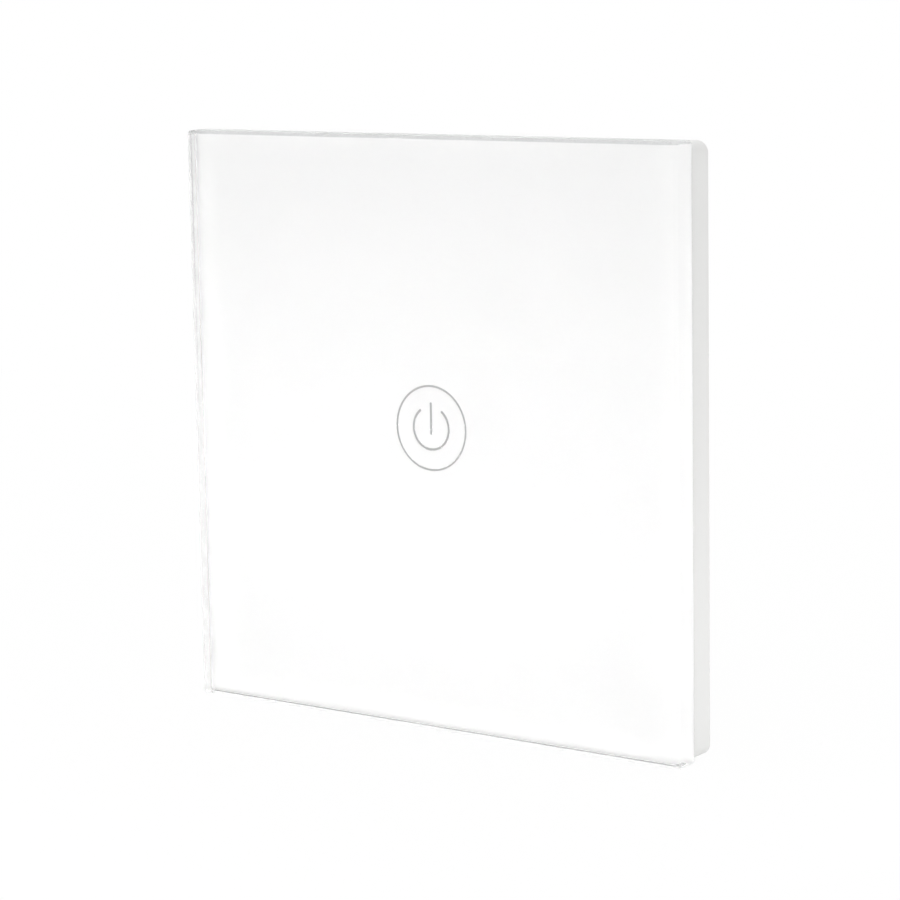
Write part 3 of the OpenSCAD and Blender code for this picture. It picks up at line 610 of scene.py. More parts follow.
@dataclass(frozen=True)
class MouldedFinish:
    """Moulded plastic with a fine grain and slow clouds of tone."""

    name: str
    colour: Colour
    roughness: float = 0.42
    grain_scale: float = 3000.0
    grain_depth: float = 0.012
    cloud: float = 0.03
    grain_strength: float = 0.25
    speck: Span = (0.25, 0.75)
    speck_share: float = 0.25
    gloss: Span = (-0.05, 0.06)

    def build(self) -> bpy.types.Material:
        """Makes the material.

        Returns:
            The material.
        """
        coat = Coat(self.name)
        skin = coat.use(Effects.moulded_skin(), {"Grain Scale": self.grain_scale})
        tone = coat.mix(skin["Cloud"], shade(self.colour, 1 - self.cloud), self.colour)
        speck = coat.math("MULTIPLY", coat.ramp(skin["Grain"], *self.speck), self.speck_share)
        rough = (self.roughness + change for change in self.gloss)
        return coat.finish(
            Base_Color=coat.mix(speck, tone, shade(self.colour, 1 - self.cloud / 2)),
            Roughness=coat.ramp(skin["Gloss"], 0.0, 1.0, *rough),
            IOR=PLASTIC_IOR,
            Normal=coat.relief(skin["Grain"], self.grain_strength, self.grain_depth),
        )


@dataclass(frozen=True)
class MetalFinish:
    """Plated, drawn or bright metal."""

    name: str
    colour: Colour
    roughness: float = 0.3
    streak_scale: float = 900.0
    streak_depth: float = 0.006
    tarnish: float = 0.12
    streak_strength: float = 0.2
    dulling: float = 0.8
    haze: float = 0.5
    gloss: Span = (-0.08, 0.12)

    def build(self) -> bpy.types.Material:
        """Makes the material.

        Returns:
            The material.
        """
        coat = Coat(self.name)
        skin = coat.use(Effects.metal_skin(), {"Streak Scale": self.streak_scale})
        dull = coat.math("MULTIPLY", skin["Tarnish"], self.dulling)
        haze = coat.math("MULTIPLY", skin["Tarnish"], self.tarnish * self.haze)
        streak = coat.spread(skin["Streak"], *(self.roughness + change for change in self.gloss))
        height = coat.math("ADD", skin["Streak"], skin["Pits"])
        return coat.finish(
            Base_Color=coat.mix(dull, self.colour, shade(self.colour, 1 - self.tarnish)),
            Roughness=coat.math("ADD", streak, haze, True),
            Metallic=1.0,
            Normal=coat.relief(height, self.streak_strength, self.streak_depth),
        )


@dataclass(frozen=True)
class GlassFinish:
    """Clear float glass: a faint film of handling, a ground top edge greyed with painted shade, and a painted
    shade line along the left arris.
    """

    name: str = "clear_glass"
    tint: Colour = (0.991, 0.991, 0.991)
    # Grey of the ground top strip, darker than ground glass is: painted shade along the top edge.
    ground: Colour = (0.54, 0.55, 0.55)
    ground_and_shade_from: float = 42.5
    ground_and_shade_soft: Span = (-0.02, 0.05)
    ground_gloss: Span = (0.22, 0.34)
    pit_scale: float = 6000.0
    # Colour of the painted shade line along the left arris.
    arris: Colour = (0.33, 0.34, 0.34)
    shade_line_at: float = 41.95
    shade_line_half: float = 0.1
    shade_line_low: float = -5.0
    shade_line_high: float = 28.0
    shade_line_end: float = 0.04
    film_to: float = 41.5
    film_soft: float = 2.0
    film_size: float = 55.0
    film_shade: float = 0.995
    film_rough: float = 0.02

    def ground_and_shade_mask(self, sheet: Sheet) -> bpy.types.NodeSocket:
        """1 on the ground strip along the top edge, 0 below it. The strip has a rough ground finish, and its
        grey tone is painted shade.
        """
        low, high = ((self.ground_and_shade_from + soft) * MM for soft in self.ground_and_shade_soft)
        return sheet.ramp(sheet.axis(Axis.UP), low, high)

    def painted_shade_line(self, sheet: Sheet) -> bpy.types.NodeSocket:
        """The painted shade line where the left arris meets the front, a dark reflection painted into the
        glass, which fades downwards.

        Args:
            sheet: The sheet of the material.

        Returns:
            The socket with its mask.
        """
        left, half = -self.shade_line_at * MM, self.shade_line_half * MM
        near = sheet.ramp(sheet.axis(Axis.ACROSS), left - 2 * half, left, 0.0, 1.0)
        far = sheet.ramp(sheet.axis(Axis.ACROSS), left, left + 2 * half, 1.0, 0.0)
        fade = sheet.ramp(sheet.axis(Axis.UP), self.shade_line_low * MM, self.shade_line_high * MM, self.shade_line_end, 1.0)
        return sheet.math("MULTIPLY", sheet.math("MULTIPLY", near, far), fade)

    def film(self, sheet: Sheet) -> bpy.types.NodeSocket:
        """The film of handling, which stops short of the edges.

        Args:
            sheet: The sheet of the material.

        Returns:
            The socket with its mask.
        """
        inside = sheet.ramp(sheet.reach(), (self.film_to - self.film_soft) * MM, self.film_to * MM, 1.0, 0.0)
        film = sheet.use(Effects.finger_film(), {"Size": self.film_size})["Film"]
        return sheet.math("MULTIPLY", inside, film)

    def build(self) -> bpy.types.Material:
        """Makes the material.

        Returns:
            The material.
        """
        coat = Coat(self.name)
        film = self.film(coat)
        # Mask of the top strip: its ground finish and its painted shade.
        mask = self.ground_and_shade_mask(coat)
        clear = coat.mix(film, self.tint, shade(self.tint, self.film_shade))
        smooth = coat.ramp(film, 0.0, 1.0, 0.0, self.film_rough)
        pits = coat.spread(coat.noise(coat.place(), self.pit_scale), *self.ground_gloss)
        # The base colour holds painted shade: the grey top strip and the dark line at the left arris.
        return coat.finish(
            Base_Color=coat.mix(self.painted_shade_line(coat), coat.mix(mask, clear, self.ground), self.arris),
            Roughness=coat.math("ADD", smooth, coat.math("MULTIPLY", mask, pits)),
            IOR=GLASS_IOR,
            Transmission_Weight=1.0,
        )


@dataclass(frozen=True)
class InkFinish:
    """Screen printed ink, seen through the glass. Its border can be painted paler, as painted light that
    stands in for light coming in through the sides of the glass.
    """

    name: str
    colour: Colour
    unevenness: float = 0.012
    painted_rim_light: float = 0.0
    painted_rim_light_from: float = 38.5
    painted_rim_light_to: float = 41.5
    mesh_scale: float = 2200.0
    lay_scale: float = 30.0
    gloss: Span = (0.5, 0.62)
    shine: float = 0.2
    bump: Span = (0.1, 0.004)

    def build(self) -> bpy.types.Material:
        """Makes the material.

        Returns:
            The material.
        """
        coat = Coat(self.name)
        mesh_marks = coat.noise(coat.place(), self.mesh_scale)
        share = coat.math("MULTIPLY", mesh_marks, coat.noise(coat.place(), self.lay_scale), True)
        tone = coat.mix(share, self.colour, shade(self.colour, 1 - self.unevenness))
        # Painted light: the ink is made paler near its border, for the light that the glass's sides let in.
        if self.painted_rim_light:
            edge = coat.ramp(coat.reach(), self.painted_rim_light_from * MM, self.painted_rim_light_to * MM)
            tone = coat.mix(edge, tone, shade(self.colour, 1 + self.painted_rim_light))
        return coat.finish(
            Base_Color=tone,
            Roughness=coat.spread(mesh_marks, *self.gloss),
            Specular_IOR_Level=self.shine,
            Normal=coat.relief(mesh_marks, *self.bump),
        )


@dataclass(frozen=True)
class FoamFinish:
    """Closed foam of the bonding tape, with painted shade in the hollows of its cells."""

    name: str
    colour: Colour
    cell_scale: float = 6500.0
    wall: Span = (0.1, 0.7)
    # Share of colour left in the cell hollows: painted shade.
    hollow: float = 0.75
    gloss: Span = (0.95, 0.8)
    bump: Span = (0.5, 0.03)

    def build(self) -> bpy.types.Material:
        """Makes the material.

        Returns:
            The material.
        """
        coat = Coat(self.name)
        takes = {"Vector": coat.place(), "Scale": self.cell_scale}
        cells = coat.put("ShaderNodeTexVoronoi", takes, feature="F1")
        wall = coat.ramp(cells.outputs[0], *self.wall)
        return coat.finish(
            Base_Color=coat.mix(wall, shade(self.colour, self.hollow), self.colour),
            Roughness=coat.ramp(wall, 0.0, 1.0, *self.gloss),
            Normal=coat.relief(wall, *self.bump),
        )


@dataclass(frozen=True)
class BoardFinish:
    """Lacquered circuit board: tracks under the lacquer, tinned pads on it."""

    name: str
    lacquer: Colour = (0.012, 0.12, 0.055)
    copper: Colour = (0.03, 0.2, 0.085)
    tin: Colour = (0.66, 0.66, 0.64)
    cells: float = 230.0
    track_height: float = 0.8
    weave_height: float = 0.2
    gloss: Span = (0.24, 0.36)
    bump: Span = (0.4, 0.03)

    def build(self) -> bpy.types.Material:
        """Makes the material.

        Returns:
            The material.
        """
        coat = Coat(self.name)
        art = coat.use(Effects.board_copper(), {"Cells": self.cells})
        track = coat.math("MULTIPLY", art["Track"], self.track_height)
        weave = coat.math("MULTIPLY", art["Weave"], self.weave_height)
        return coat.finish(
            Base_Color=coat.mix(art["Pad"], coat.mix(art["Track"], self.lacquer, self.copper), self.tin),
            Metallic=art["Pad"],
            Roughness=coat.spread(art["Weave"], *self.gloss),
            Normal=coat.relief(coat.math("ADD", track, weave), *self.bump),
        )


@dataclass(frozen=True)
class WoundFinish:
    """Enamelled wire in close turns, with painted shade in the grooves between them."""

    name: str
    colour: Colour = (0.42, 0.13, 0.035)
    turns: float = 42000.0
    groove_shade: float = 0.45
    metal: float = 0.75
    gloss: Span = (0.5, 0.26)
    bump: Span = (0.8, 0.06)

    def build(self) -> bpy.types.Material:
        """Makes the material.

        Returns:
            The material.
        """
        coat = Coat(self.name)
        turn = coat.use(Effects.wire_turns(), {"Turns": self.turns})["Turn"]
        # Darker between the turns: painted shade in the grooves.
        return coat.finish(
            Base_Color=coat.mix(turn, shade(self.colour, self.groove_shade), self.colour),
            Metallic=self.metal,
            Roughness=coat.ramp(turn, 0.0, 1.0, *self.gloss),
            Normal=coat.relief(turn, *self.bump),
        )


@dataclass(frozen=True)
class SleeveFinish:
    """Shrunk sleeve of a capacitor can, with its pale polarity stripe."""

    name: str
    colour: Colour = (0.012, 0.018, 0.05)
    stripe: Colour = (0.5, 0.52, 0.56)
    stripe_from: float = 17.2
    stripe_soft: float = 0.05
    stretch: Triple = (1.0, 0.3, 1.0)
    wrinkle_scale: float = 700.0
    gloss: Span = (0.22, 0.36)
    bump: Span = (0.3, 0.03)

    def build(self) -> bpy.types.Material:
        """Makes the material.

        Returns:
            The material.
        """
        coat = Coat(self.name)
        wrinkle = coat.noise(coat.place(self.stretch), self.wrinkle_scale, detail=3.0)
        start, end = self.stripe_from * MM, (self.stripe_from + self.stripe_soft) * MM
        return coat.finish(
            Base_Color=coat.mix(coat.ramp(coat.axis(Axis.ACROSS), start, end), self.colour, self.stripe),
            Roughness=coat.spread(wrinkle, *self.gloss),
            Normal=coat.relief(wrinkle, *self.bump),
        )


@dataclass(frozen=True)
class BandedFinish:
    """Lacquered resistor body with colour bands across it."""

    name: str
    body: Colour = (0.2, 0.34, 0.26)
    first: float = 0.6
    pitch: float = 1.1
    width: float = 0.5
    bands: tuple[Colour, ...] = ((0.02, 0.02, 0.02), (0.2, 0.08, 0.03), (0.75, 0.5, 0.02), (0.35, 0.27, 0.1))
    lacquer_scale: float = 1200.0
    lacquer_shade: float = 0.85
    gloss: Span = (0.3, 0.45)
    bump: Span = (0.25, 0.03)

    def build(self) -> bpy.types.Material:
        """Makes the material.

        Returns:
            The material.
        """
        coat = Coat(self.name)
        across = coat.axis(Axis.ACROSS)
        lacquer = coat.noise(coat.place(), self.lacquer_scale, detail=3.0)
        tone = coat.mix(lacquer, shade(self.body, self.lacquer_shade), self.body)
        half = self.width * MM / 2
        for place, colour in enumerate(self.bands):
            start = (self.first + place * self.pitch) * MM
            inside = coat.put("ShaderNodeMath", {0: across, 1: start + half, 2: half}, operation="COMPARE")
            tone = coat.mix(inside.outputs[0], tone, colour)
        return coat.finish(
            Base_Color=tone,
            Roughness=coat.spread(lacquer, *self.gloss),
            Normal=coat.relief(lacquer, *self.bump),
        )


@dataclass(frozen=True)
class ChipCapacitorFinish:
    """Ceramic chip capacitors with tinned ends."""

    name: str
    ceramic: Colour = (0.42, 0.28, 0.15)
    tin: Colour = (0.72, 0.72, 0.7)
    middle: float = -12.5
    half_body: float = 0.45
    speck_scale: float = 9000.0
    speck_shade: float = 0.8
    gloss: Span = (0.3, 0.5)
    bump: Span = (0.2, 0.02)

    def build(self) -> bpy.types.Material:
        """Makes the material.

        Returns:
            The material.
        """
        coat = Coat(self.name)
        off = coat.math("ABSOLUTE", coat.math("SUBTRACT", coat.axis(Axis.ACROSS), self.middle * MM))
        end = coat.math("GREATER_THAN", off, self.half_body * MM)
        speck = coat.noise(coat.place(), self.speck_scale)
        body = coat.mix(speck, shade(self.ceramic, self.speck_shade), self.ceramic)
        return coat.finish(
            Base_Color=coat.mix(end, body, self.tin),
            Metallic=end,
            Roughness=coat.spread(speck, *self.gloss),
            Normal=coat.relief(speck, *self.bump),
        )


@dataclass(frozen=True)
class DiffuserFinish:
    """Milky acrylic that spreads the indicator light."""

    name: str
    colour: Colour
    transmission: float = 0.6
    milk_scale: float = 800.0
    milk_shade: float = 0.96
    gloss: Span = (0.35, 0.5)
    bump: Span = (0.15, 0.02)

    def build(self) -> bpy.types.Material:
        """Makes the material.

        Returns:
            The material.
        """
        coat = Coat(self.name)
        milk = coat.noise(coat.place(), self.milk_scale, detail=3.0)
        return coat.finish(
            Base_Color=coat.mix(milk, shade(self.colour, self.milk_shade), self.colour),
            Roughness=coat.spread(milk, *self.gloss),
            IOR=PLASTIC_IOR,
            Transmission_Weight=self.transmission,
            Normal=coat.relief(milk, *self.bump),
        )


class Palette:
    """All finishes of the switch, keyed by the record's material slots."""

    NAMED_AS_SLOT = (
        # The white print has a painted light border.
        InkFinish("white_print", (0.96, 0.959, 0.957), painted_rim_light=0.03),
        InkFinish("icon_ink", (0.465, 0.463, 0.463), 0.05),
        FoamFinish("tape", (0.3, 0.3, 0.3)),
        MouldedFinish("frame_plastic", (0.795, 0.795, 0.785), 0.38, 3400.0, 0.008, 0.015),
        MouldedFinish("chassis_plastic", (0.78, 0.78, 0.765), 0.5, 2600.0, 0.02, 0.03),
        MouldedFinish("cover_plastic", (0.82, 0.82, 0.81), 0.46, 2600.0, 0.018, 0.025),
        MouldedFinish("housing_plastic", (0.74, 0.74, 0.72), 0.5, 2200.0, 0.025, 0.035),
        MetalFinish("spring_steel", (0.62, 0.61, 0.59), 0.26, 1100.0),
        MetalFinish("rivet_aluminium", (0.74, 0.74, 0.75), 0.34, 1500.0),
        MetalFinish("zinc_steel", (0.66, 0.67, 0.68), 0.3, 1800.0),
        BoardFinish("board"),
        MetalFinish("spring_wire", (0.72, 0.7, 0.66), 0.22, 1600.0),
        DiffuserFinish("light_guide", (0.93, 0.94, 0.95)),
        DiffuserFinish("led", (0.9, 0.87, 0.62), 0.25),
        MouldedFinish("chip_black", (0.02, 0.02, 0.021), 0.55, 7000.0, 0.012, 0.2),
        MetalFinish("tinned", (0.7, 0.7, 0.68), 0.34, 2200.0),
        ChipCapacitorFinish("chip_ceramic"),
        MouldedFinish("header_black", (0.018, 0.018, 0.018), 0.5, 5000.0, 0.01, 0.2),
        MetalFinish("gold_pin", (0.83, 0.6, 0.24), 0.24, 2600.0),
        MouldedFinish("film_yellow", (0.72, 0.42, 0.035), 0.36, 4000.0, 0.012, 0.08),
        SleeveFinish("can_sleeve"),
        MetalFinish("can_aluminium", (0.78, 0.78, 0.79), 0.28, 1700.0),
        MouldedFinish("varistor_blue", (0.025, 0.09, 0.34), 0.3, 1500.0, 0.05, 0.12),
        BandedFinish("resistor_body"),
        WoundFinish("ferrite", (0.1, 0.07, 0.055), 21000.0),
        MouldedFinish("relay_base", (0.02, 0.02, 0.022), 0.5, 5000.0, 0.012, 0.2),
        MouldedFinish("relay_shell", (0.02, 0.055, 0.2), 0.4, 4500.0, 0.012, 0.1),
        MouldedFinish("bobbin_plastic", (0.72, 0.68, 0.56), 0.45, 4000.0, 0.012, 0.06),
        WoundFinish("copper_wire"),
        MetalFinish("relay_iron", (0.58, 0.58, 0.58), 0.36, 1400.0),
        MetalFinish("contact_copper", (0.78, 0.42, 0.22), 0.3, 1500.0),
        MouldedFinish("terminal_plastic", (0.09, 0.24, 0.13), 0.46, 3000.0, 0.015, 0.08),
        MetalFinish("terminal_brass", (0.76, 0.56, 0.24), 0.3, 1300.0),
    )

    def __init__(self) -> None:
        """Makes every material once."""
        self.materials = {"glass": GlassFinish().build()}
        self.materials |= {finish.name: finish.build() for finish in self.NAMED_AS_SLOT}

    def dress(self, piece: bpy.types.Object, slot: str) -> None:
        """Gives a piece the one material of a slot."""
        piece.data.materials.clear()
        piece.data.materials.append(self.materials[slot])


@dataclass
class Assembly:
    """What every sub-assembly can do: take its nodes, finish and place its pieces."""

    palette: Palette

    def finish_node(self, name: str, slot: str, edge: float = 0.0, segments: int = 2) -> None:
        """Dresses a frame node, with rounded edges if edge isn't 0.

        Args:
            name: Name of the node.
            slot: Material slot of its finish.
            edge: Width of the rounding, in millimetres.
            segments: Number of flats in the rounding.
        """
        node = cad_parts[name]
        self.palette.dress(node, slot)
        if edge:
            Bench.soften_node(node, edge, segments)
        log.info("%s: frame node, finish %s", name, slot)

    def finish_nodes(self, *rows: NodeRow) -> None:
        """Dresses frame nodes, each given as finish_node takes it."""
        for row in rows:
            self.finish_node(*row)

    def finish_piece(self, piece: bpy.types.Object, slot: str, body: Body, nodes: Sequence[str] = ()) -> None:
        """Dresses a modelled piece and lets it ride.

        Args:
            piece: The piece.
            slot: Material slot of its finish.
            body: The body that it moves with.
            nodes: Frame nodes that it stands for.
        """
        self.palette.dress(piece, slot)
        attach(piece, body.value)
        if nodes:
            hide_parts(*nodes)
        log.info("%s: modelled piece on %s, finish %s", piece.name, body.value, slot)


@dataclass
class FrontPanel(Assembly):
    """The glass with its print, and the frame behind it. It pulls off the clips as one."""

    half: float = 43.0
    glass_front: float = -9.05
    glass_back: float = -5.04
    glass_corner: float = 0.7
    glass_flats: int = 8
    arris: float = 0.5
    polish: float = 0.07
    polish_flats: int = 2
    polish_from: float = 30.0
    frame_half: float = 42.7
    frame_front: float = -4.7
    frame_back: float = -0.2
    frame_corner: float = 1.7
    inner_corner: float = 0.4
    corner_flats: int = 10
    frame_wall: float = 1.6
    frame_edge: float = 0.22
    edge_flats: int = 3
    web: float = 1.0
    opening_half: float = 36.7
    pry_half: float = 4.5
    pry_depth: float = 1.0
    past: float = 1.0
    rib_x: float = 18.0
    rib_half: float = 6.0
    rib_from: float = 40.1
    rib_front: float = -2.5
    rib_back: float = -1.8
    rib_edge: float = 0.12

    def build(self) -> None:
        """Builds the glass and the frame and dresses the thin layers between them."""
        self.finish_piece(self.glass(), "glass", Body.PANEL, ["glass_panel"])
        self.finish_piece(self.frame(), "frame_plastic", Body.PANEL, ["panel_frame"])
        self.finish_nodes(("back_print", "white_print"), ("icon_print", "icon_ink"), ("panel_tape", "tape"))

    def glass(self) -> bpy.types.Object:
        """The slab: upright corners just broken, a ground arris around the front, all edges polished.

        Returns:
            The slab. Its back lies a hair behind the face of the print, which is fused to it.
        """
        low = (-self.half, self.glass_front, -self.half)
        slab = Bench.block("glass_slab", low, (self.half, self.glass_back, self.half))
        Bench.round_corners(slab, self.glass_corner, self.glass_flats)
        limit = self.glass_front * MM + NEAR
        with Bench.editing(slab):
            Bench.pick_edges(slab, lambda a, b: a.y < limit and b.y < limit)
            bpy.ops.mesh.bevel(offset=self.arris * MM, segments=1, affect="EDGES")
        Bench.bevel(slab, self.polish, self.polish_flats, self.polish_from)
        Bench.apply(slab)
        bpy.ops.object.shade_flat()
        return slab

    def wall(
        self, name: str, half: float, front: float, back: float, corner: float, inner: bool = True
    ) -> bpy.types.Object:
        """A square wall with open ends.

        Args:
            name: Name of the wall.
            half: Half its width.
            front: Depth of its front end.
            back: Depth of its back end.
            corner: Radius of its corners.
            inner: True for a wall of a hollow.

        Returns:
            The wall.
        """
        wall = Bench.block(name, (-half, front, -half), (half, back, half))
        Bench.round_corners(wall, corner, self.corner_flats)
        with Bench.editing(wall):
            Bench.pick_faces(wall, Bench.faces_depth)
            bpy.ops.mesh.delete(type="ONLY_FACE")
            if inner:
                # The wall of a hollow faces into it, so that the bridges take the short way
                Bench.flip()
        return wall

    def ribs(self) -> list[bpy.types.Object]:
        """The four ribs that the clips hold.

        Returns:
            The ribs, with soft edges.
        """
        ribs = []
        for side in (-1, 1):
            for up in (-1, 1):
                near, far = sorted((self.rib_from * up, (self.frame_half - self.frame_wall / 2) * up))
                low = (side * self.rib_x - self.rib_half, self.rib_front, near)
                high = (side * self.rib_x + self.rib_half, self.rib_back, far)
                ribs.append(Bench.block("rib", low, high))
                Bench.soften(ribs[-1], self.rib_edge)
        return ribs

    def frame(self) -> bpy.types.Object:
        """The moulded frame: wall, web, clip ribs and the notch for prying it off.

        Returns:
            The frame, with soft edges.
        """
        front, back = self.frame_front, self.frame_back
        web_back = front + self.web
        shell = self.wall("frame_shell", self.frame_half, front, back, self.frame_corner, inner=False)
        room = self.wall("room", self.frame_half - self.frame_wall, web_back, back, self.inner_corner)
        opening = self.wall("opening", self.opening_half, front, web_back, self.frame_corner)
        Bench.join(shell, [room, opening])
        with Bench.editing(shell):
            for level in (front * MM, web_back * MM, back * MM):
                Bench.pick_edges(shell, lambda a, b: abs(a.y - level) < NEAR and abs(b.y - level) < NEAR)
                bpy.ops.mesh.bridge_edge_loops()
        notch = Bench.block(
            "notch",
            (-self.pry_half, back - self.pry_depth, -self.frame_half - self.past),
            (self.pry_half, back + self.past, -self.frame_half + self.frame_wall + self.past),
        )
        Bench.carve(shell, notch)
        Bench.soften(shell, self.frame_edge, self.edge_flats)
        Bench.join(shell, self.ribs())
        return shell


@dataclass
class Chassis(Assembly):
    """The mounting plate with its clips, and the cover over the touch module."""

    clip_x: float = 18.0
    clip_half: float = 3.0
    clip_foot_from: float = 34.5
    clip_bend_at: float = 38.7
    clip_nose_at: float = 40.3
    clip_mid: float = -2.0
    clip_nose: float = -2.8
    clip_tip: float = -3.4
    clip_strip: float = 0.36
    clip_round: float = 0.45
    clip_flats: int = 5
    clip_edge: float = 0.05

    def build(self) -> None:
        """Dresses the moulded parts and bends the clips."""
        self.finish_nodes(
            ("mounting_chassis", "chassis_plastic", 0.2, 2),
            ("module_cover", "cover_plastic", 0.25, 3),
            ("clip_rivets", "rivet_aluminium", 0.2, 3),
            ("housing_screws", "zinc_steel", 0.15, 2),
        )
        self.finish_piece(self.clips(), "spring_steel", Body.CHASSIS, ["panel_clips"])

    def strip(self) -> bpy.types.Object:
        """One bent strip: a flat foot under the rivet, then the nose that holds the frame.

        Returns:
            The strip, in the middle of the top.
        """
        Bench.clear()
        foot_mid = (self.clip_foot_from + self.clip_bend_at) / 2
        bpy.ops.mesh.primitive_plane_add(
            size=1.0, location=(0.0, self.clip_mid * MM, foot_mid * MM), rotation=(math.pi / 2, 0.0, 0.0)
        )
        foot = self.clip_bend_at - self.clip_foot_from
        bpy.context.object.scale = (2 * self.clip_half * MM, foot * MM, 1.0)
        strip = Bench.start("clip_springs")
        with Bench.editing(strip):
            Bench.pick_edges(strip, lambda a, b: min(a.z, b.z) > self.clip_bend_at * MM - NEAR)
            for climb, depth in (
                (self.clip_nose_at - self.clip_bend_at, self.clip_nose - self.clip_mid),
                (self.clip_bend_at - self.clip_nose_at, self.clip_tip - self.clip_nose),
            ):
                move = {"value": (0.0, depth * MM, climb * MM)}
                bpy.ops.mesh.extrude_region_move(TRANSFORM_OT_translate=move)
            bends = (self.clip_mid * MM, self.clip_nose * MM)
            Bench.pick_edges(
                strip,
                lambda a, b: abs(a.y - b.y) < NEAR
                and abs(a.z - b.z) < NEAR
                and a.z > self.clip_bend_at * MM - NEAR
                and min(abs(a.y - bend) for bend in bends) < NEAR,
            )
            bpy.ops.mesh.bevel(offset=self.clip_round * MM, segments=self.clip_flats, affect="EDGES")
        sheet_metal = strip.modifiers.new("strip", "SOLIDIFY")
        sheet_metal.thickness = self.clip_strip * MM
        sheet_metal.offset = 0.0
        Bench.apply(strip)
        Bench.soften(strip, self.clip_edge)
        return strip

    def clips(self) -> bpy.types.Object:
        """Four bent strips, two above and two below.

        Returns:
            All four clips as one piece.
        """
        strip = self.strip()
        twins = []
        for number, (side, up) in enumerate(((-1, -1), (1, -1), (1, 1))):
            shift = Matrix.Translation((side * self.clip_x * MM, 0.0, 0.0))
            change = shift @ Matrix.Diagonal((1.0, 1.0, up, 1.0))
            twins.append(Bench.copy(strip, f"clip_{number}", change))
        strip.data.transform(Matrix.Translation((-self.clip_x * MM, 0.0, 0.0)))
        Bench.join(strip, twins)
        return strip


@dataclass
class TouchModule(Assembly):
    """The touch board with its coil spring, light guide and indicator lights."""

    coil_radius: float = 7.6
    wire: float = 0.6
    wire_flats: int = 14
    coil_back: float = 2.1
    coil_front: float = -4.5
    coil_rise: float = 1.0
    turns: int = 7
    turn_steps: int = 48
    smooth_to: float = 40.0

    def build(self) -> None:
        """Winds the coil and dresses the rest."""
        self.finish_piece(self.coil(), "spring_wire", Body.CHASSIS, ["touch_spring"])
        self.finish_nodes(
            ("touch_board", "board"),
            ("light_guide", "light_guide", 0.25, 3),
            ("indicator_leds", "led", 0.12, 2),
            ("touch_chip", "chip_black", 0.08, 2),
            ("chip_leads", "tinned"),
            ("chip_capacitors", "chip_ceramic", 0.06, 2),
            ("header_strip", "header_black", 0.15, 1),
            ("header_pins", "gold_pin", 0.08, 2),
        )

    def coil(self) -> bpy.types.Object:
        """The touch spring: round wire wound from the board up to the glass.

        Returns:
            The coil, with both ends closed.
        """
        Bench.clear()
        bpy.ops.mesh.primitive_circle_add(
            vertices=self.wire_flats,
            radius=self.wire / 2 * MM,
            fill_type="NGON",
            location=(self.coil_radius * MM, self.coil_back * MM, 0.0),
        )
        coil = Bench.start("touch_coil")
        with Bench.editing(coil):
            bpy.ops.mesh.select_all(action="SELECT")
            bpy.ops.mesh.delete(type="ONLY_FACE")
        wind = coil.modifiers.new("wind", "SCREW")
        wind.axis = "Y"
        wind.angle = -2 * math.pi
        wind.screw_offset = (self.coil_front - self.coil_back) / self.turns * MM
        wind.iterations = self.turns
        wind.steps = wind.render_steps = self.turn_steps
        wind.use_merge_vertices = False
        Bench.apply(coil)
        with Bench.editing(coil):
            bpy.ops.mesh.select_mode(type="EDGE")
            bpy.ops.mesh.select_non_manifold(
                extend=False, use_wire=False, use_multi_face=False, use_verts=False
            )
            bpy.ops.mesh.edge_face_add()
            bpy.ops.mesh.select_all(action="SELECT")
            bpy.ops.mesh.normals_make_consistent(inside=False)
        bpy.ops.object.shade_smooth_by_angle(angle=math.radians(self.smooth_to))
        coil.data.transform(Matrix.Translation((0.0, 0.0, self.coil_rise * MM)))
        return coil


@dataclass
class PowerModule(Assembly):
    """The power board with its parts and the relay."""

    def build(self) -> None:
        """Dresses every part on the power board."""
        self.finish_nodes(
            ("power_board", "board"),
            ("film_capacitor", "film_yellow", 0.35, 3),
            ("electrolytic_capacitors", "can_sleeve"),
            ("capacitor_tops", "can_aluminium", 0.1, 2),
            ("varistor", "varistor_blue", 0.7, 4),
            ("fuse_resistor", "resistor_body"),
            ("bridge_rectifier", "chip_black", 0.25, 2),
            ("power_inductor", "ferrite", 0.12, 2),
            ("power_chip", "chip_black", 0.08, 2),
            ("component_leads", "tinned"),
            ("relay_base", "relay_base", 0.1, 2),
            ("relay_cover", "relay_shell", 0.4, 3),
            ("relay_bobbin", "bobbin_plastic", 0.1, 2),
            ("relay_winding", "copper_wire", 0.1, 2),
            ("relay_core", "relay_iron", 0.1, 2),
            ("relay_yoke", "relay_iron", 0.15, 2),
            ("relay_armature", "relay_iron", 0.12, 2),
            ("relay_blade", "contact_copper", 0.04, 1),
            ("relay_contact", "contact_copper", 0.06, 2),
            ("relay_pins", "tinned"),
        )


@dataclass
class RearHousing(Assembly):
    """The box behind the wall with its terminals."""

    poles: int = 3

    def build(self) -> None:
        """Dresses the housing, the terminal block and its moving clamps."""
        self.finish_nodes(
            ("rear_housing", "housing_plastic", 0.25, 3),
            ("terminal_block", "terminal_plastic", 0.2, 2),
            ("terminal_bars", "terminal_brass", 0.08, 2),
        )
        for pole in range(1, self.poles + 1):
            self.finish_node(f"terminal_screw_{pole}", "zinc_steel", 0.15, 2)
            self.finish_node(f"terminal_cage_{pole}", "spring_steel", 0.1, 2)


@dataclass(frozen=True)
class Lamp:
    """A soft oblong lamp that isn't seen or mirrored itself. Lengths are in metres, power in watts."""

    name: str
    place: Triple
    size: Span
    power: float

    def build(self) -> None:
        """Sets the lamp up, facing the switch."""
        data = bpy.data.lights.new(self.name, "AREA")
        data.shape = "RECTANGLE"
        data.size, data.size_y = self.size
        data.energy = self.power
        lamp = bpy.data.objects.new(self.name, data)
        bpy.context.collection.objects.link(lamp)
        lamp.location = self.place
        lamp.visible_camera = lamp.visible_glossy = False
        lamp.rotation_euler = (-Vector(self.place)).to_track_quat("-Z", "Y").to_euler()


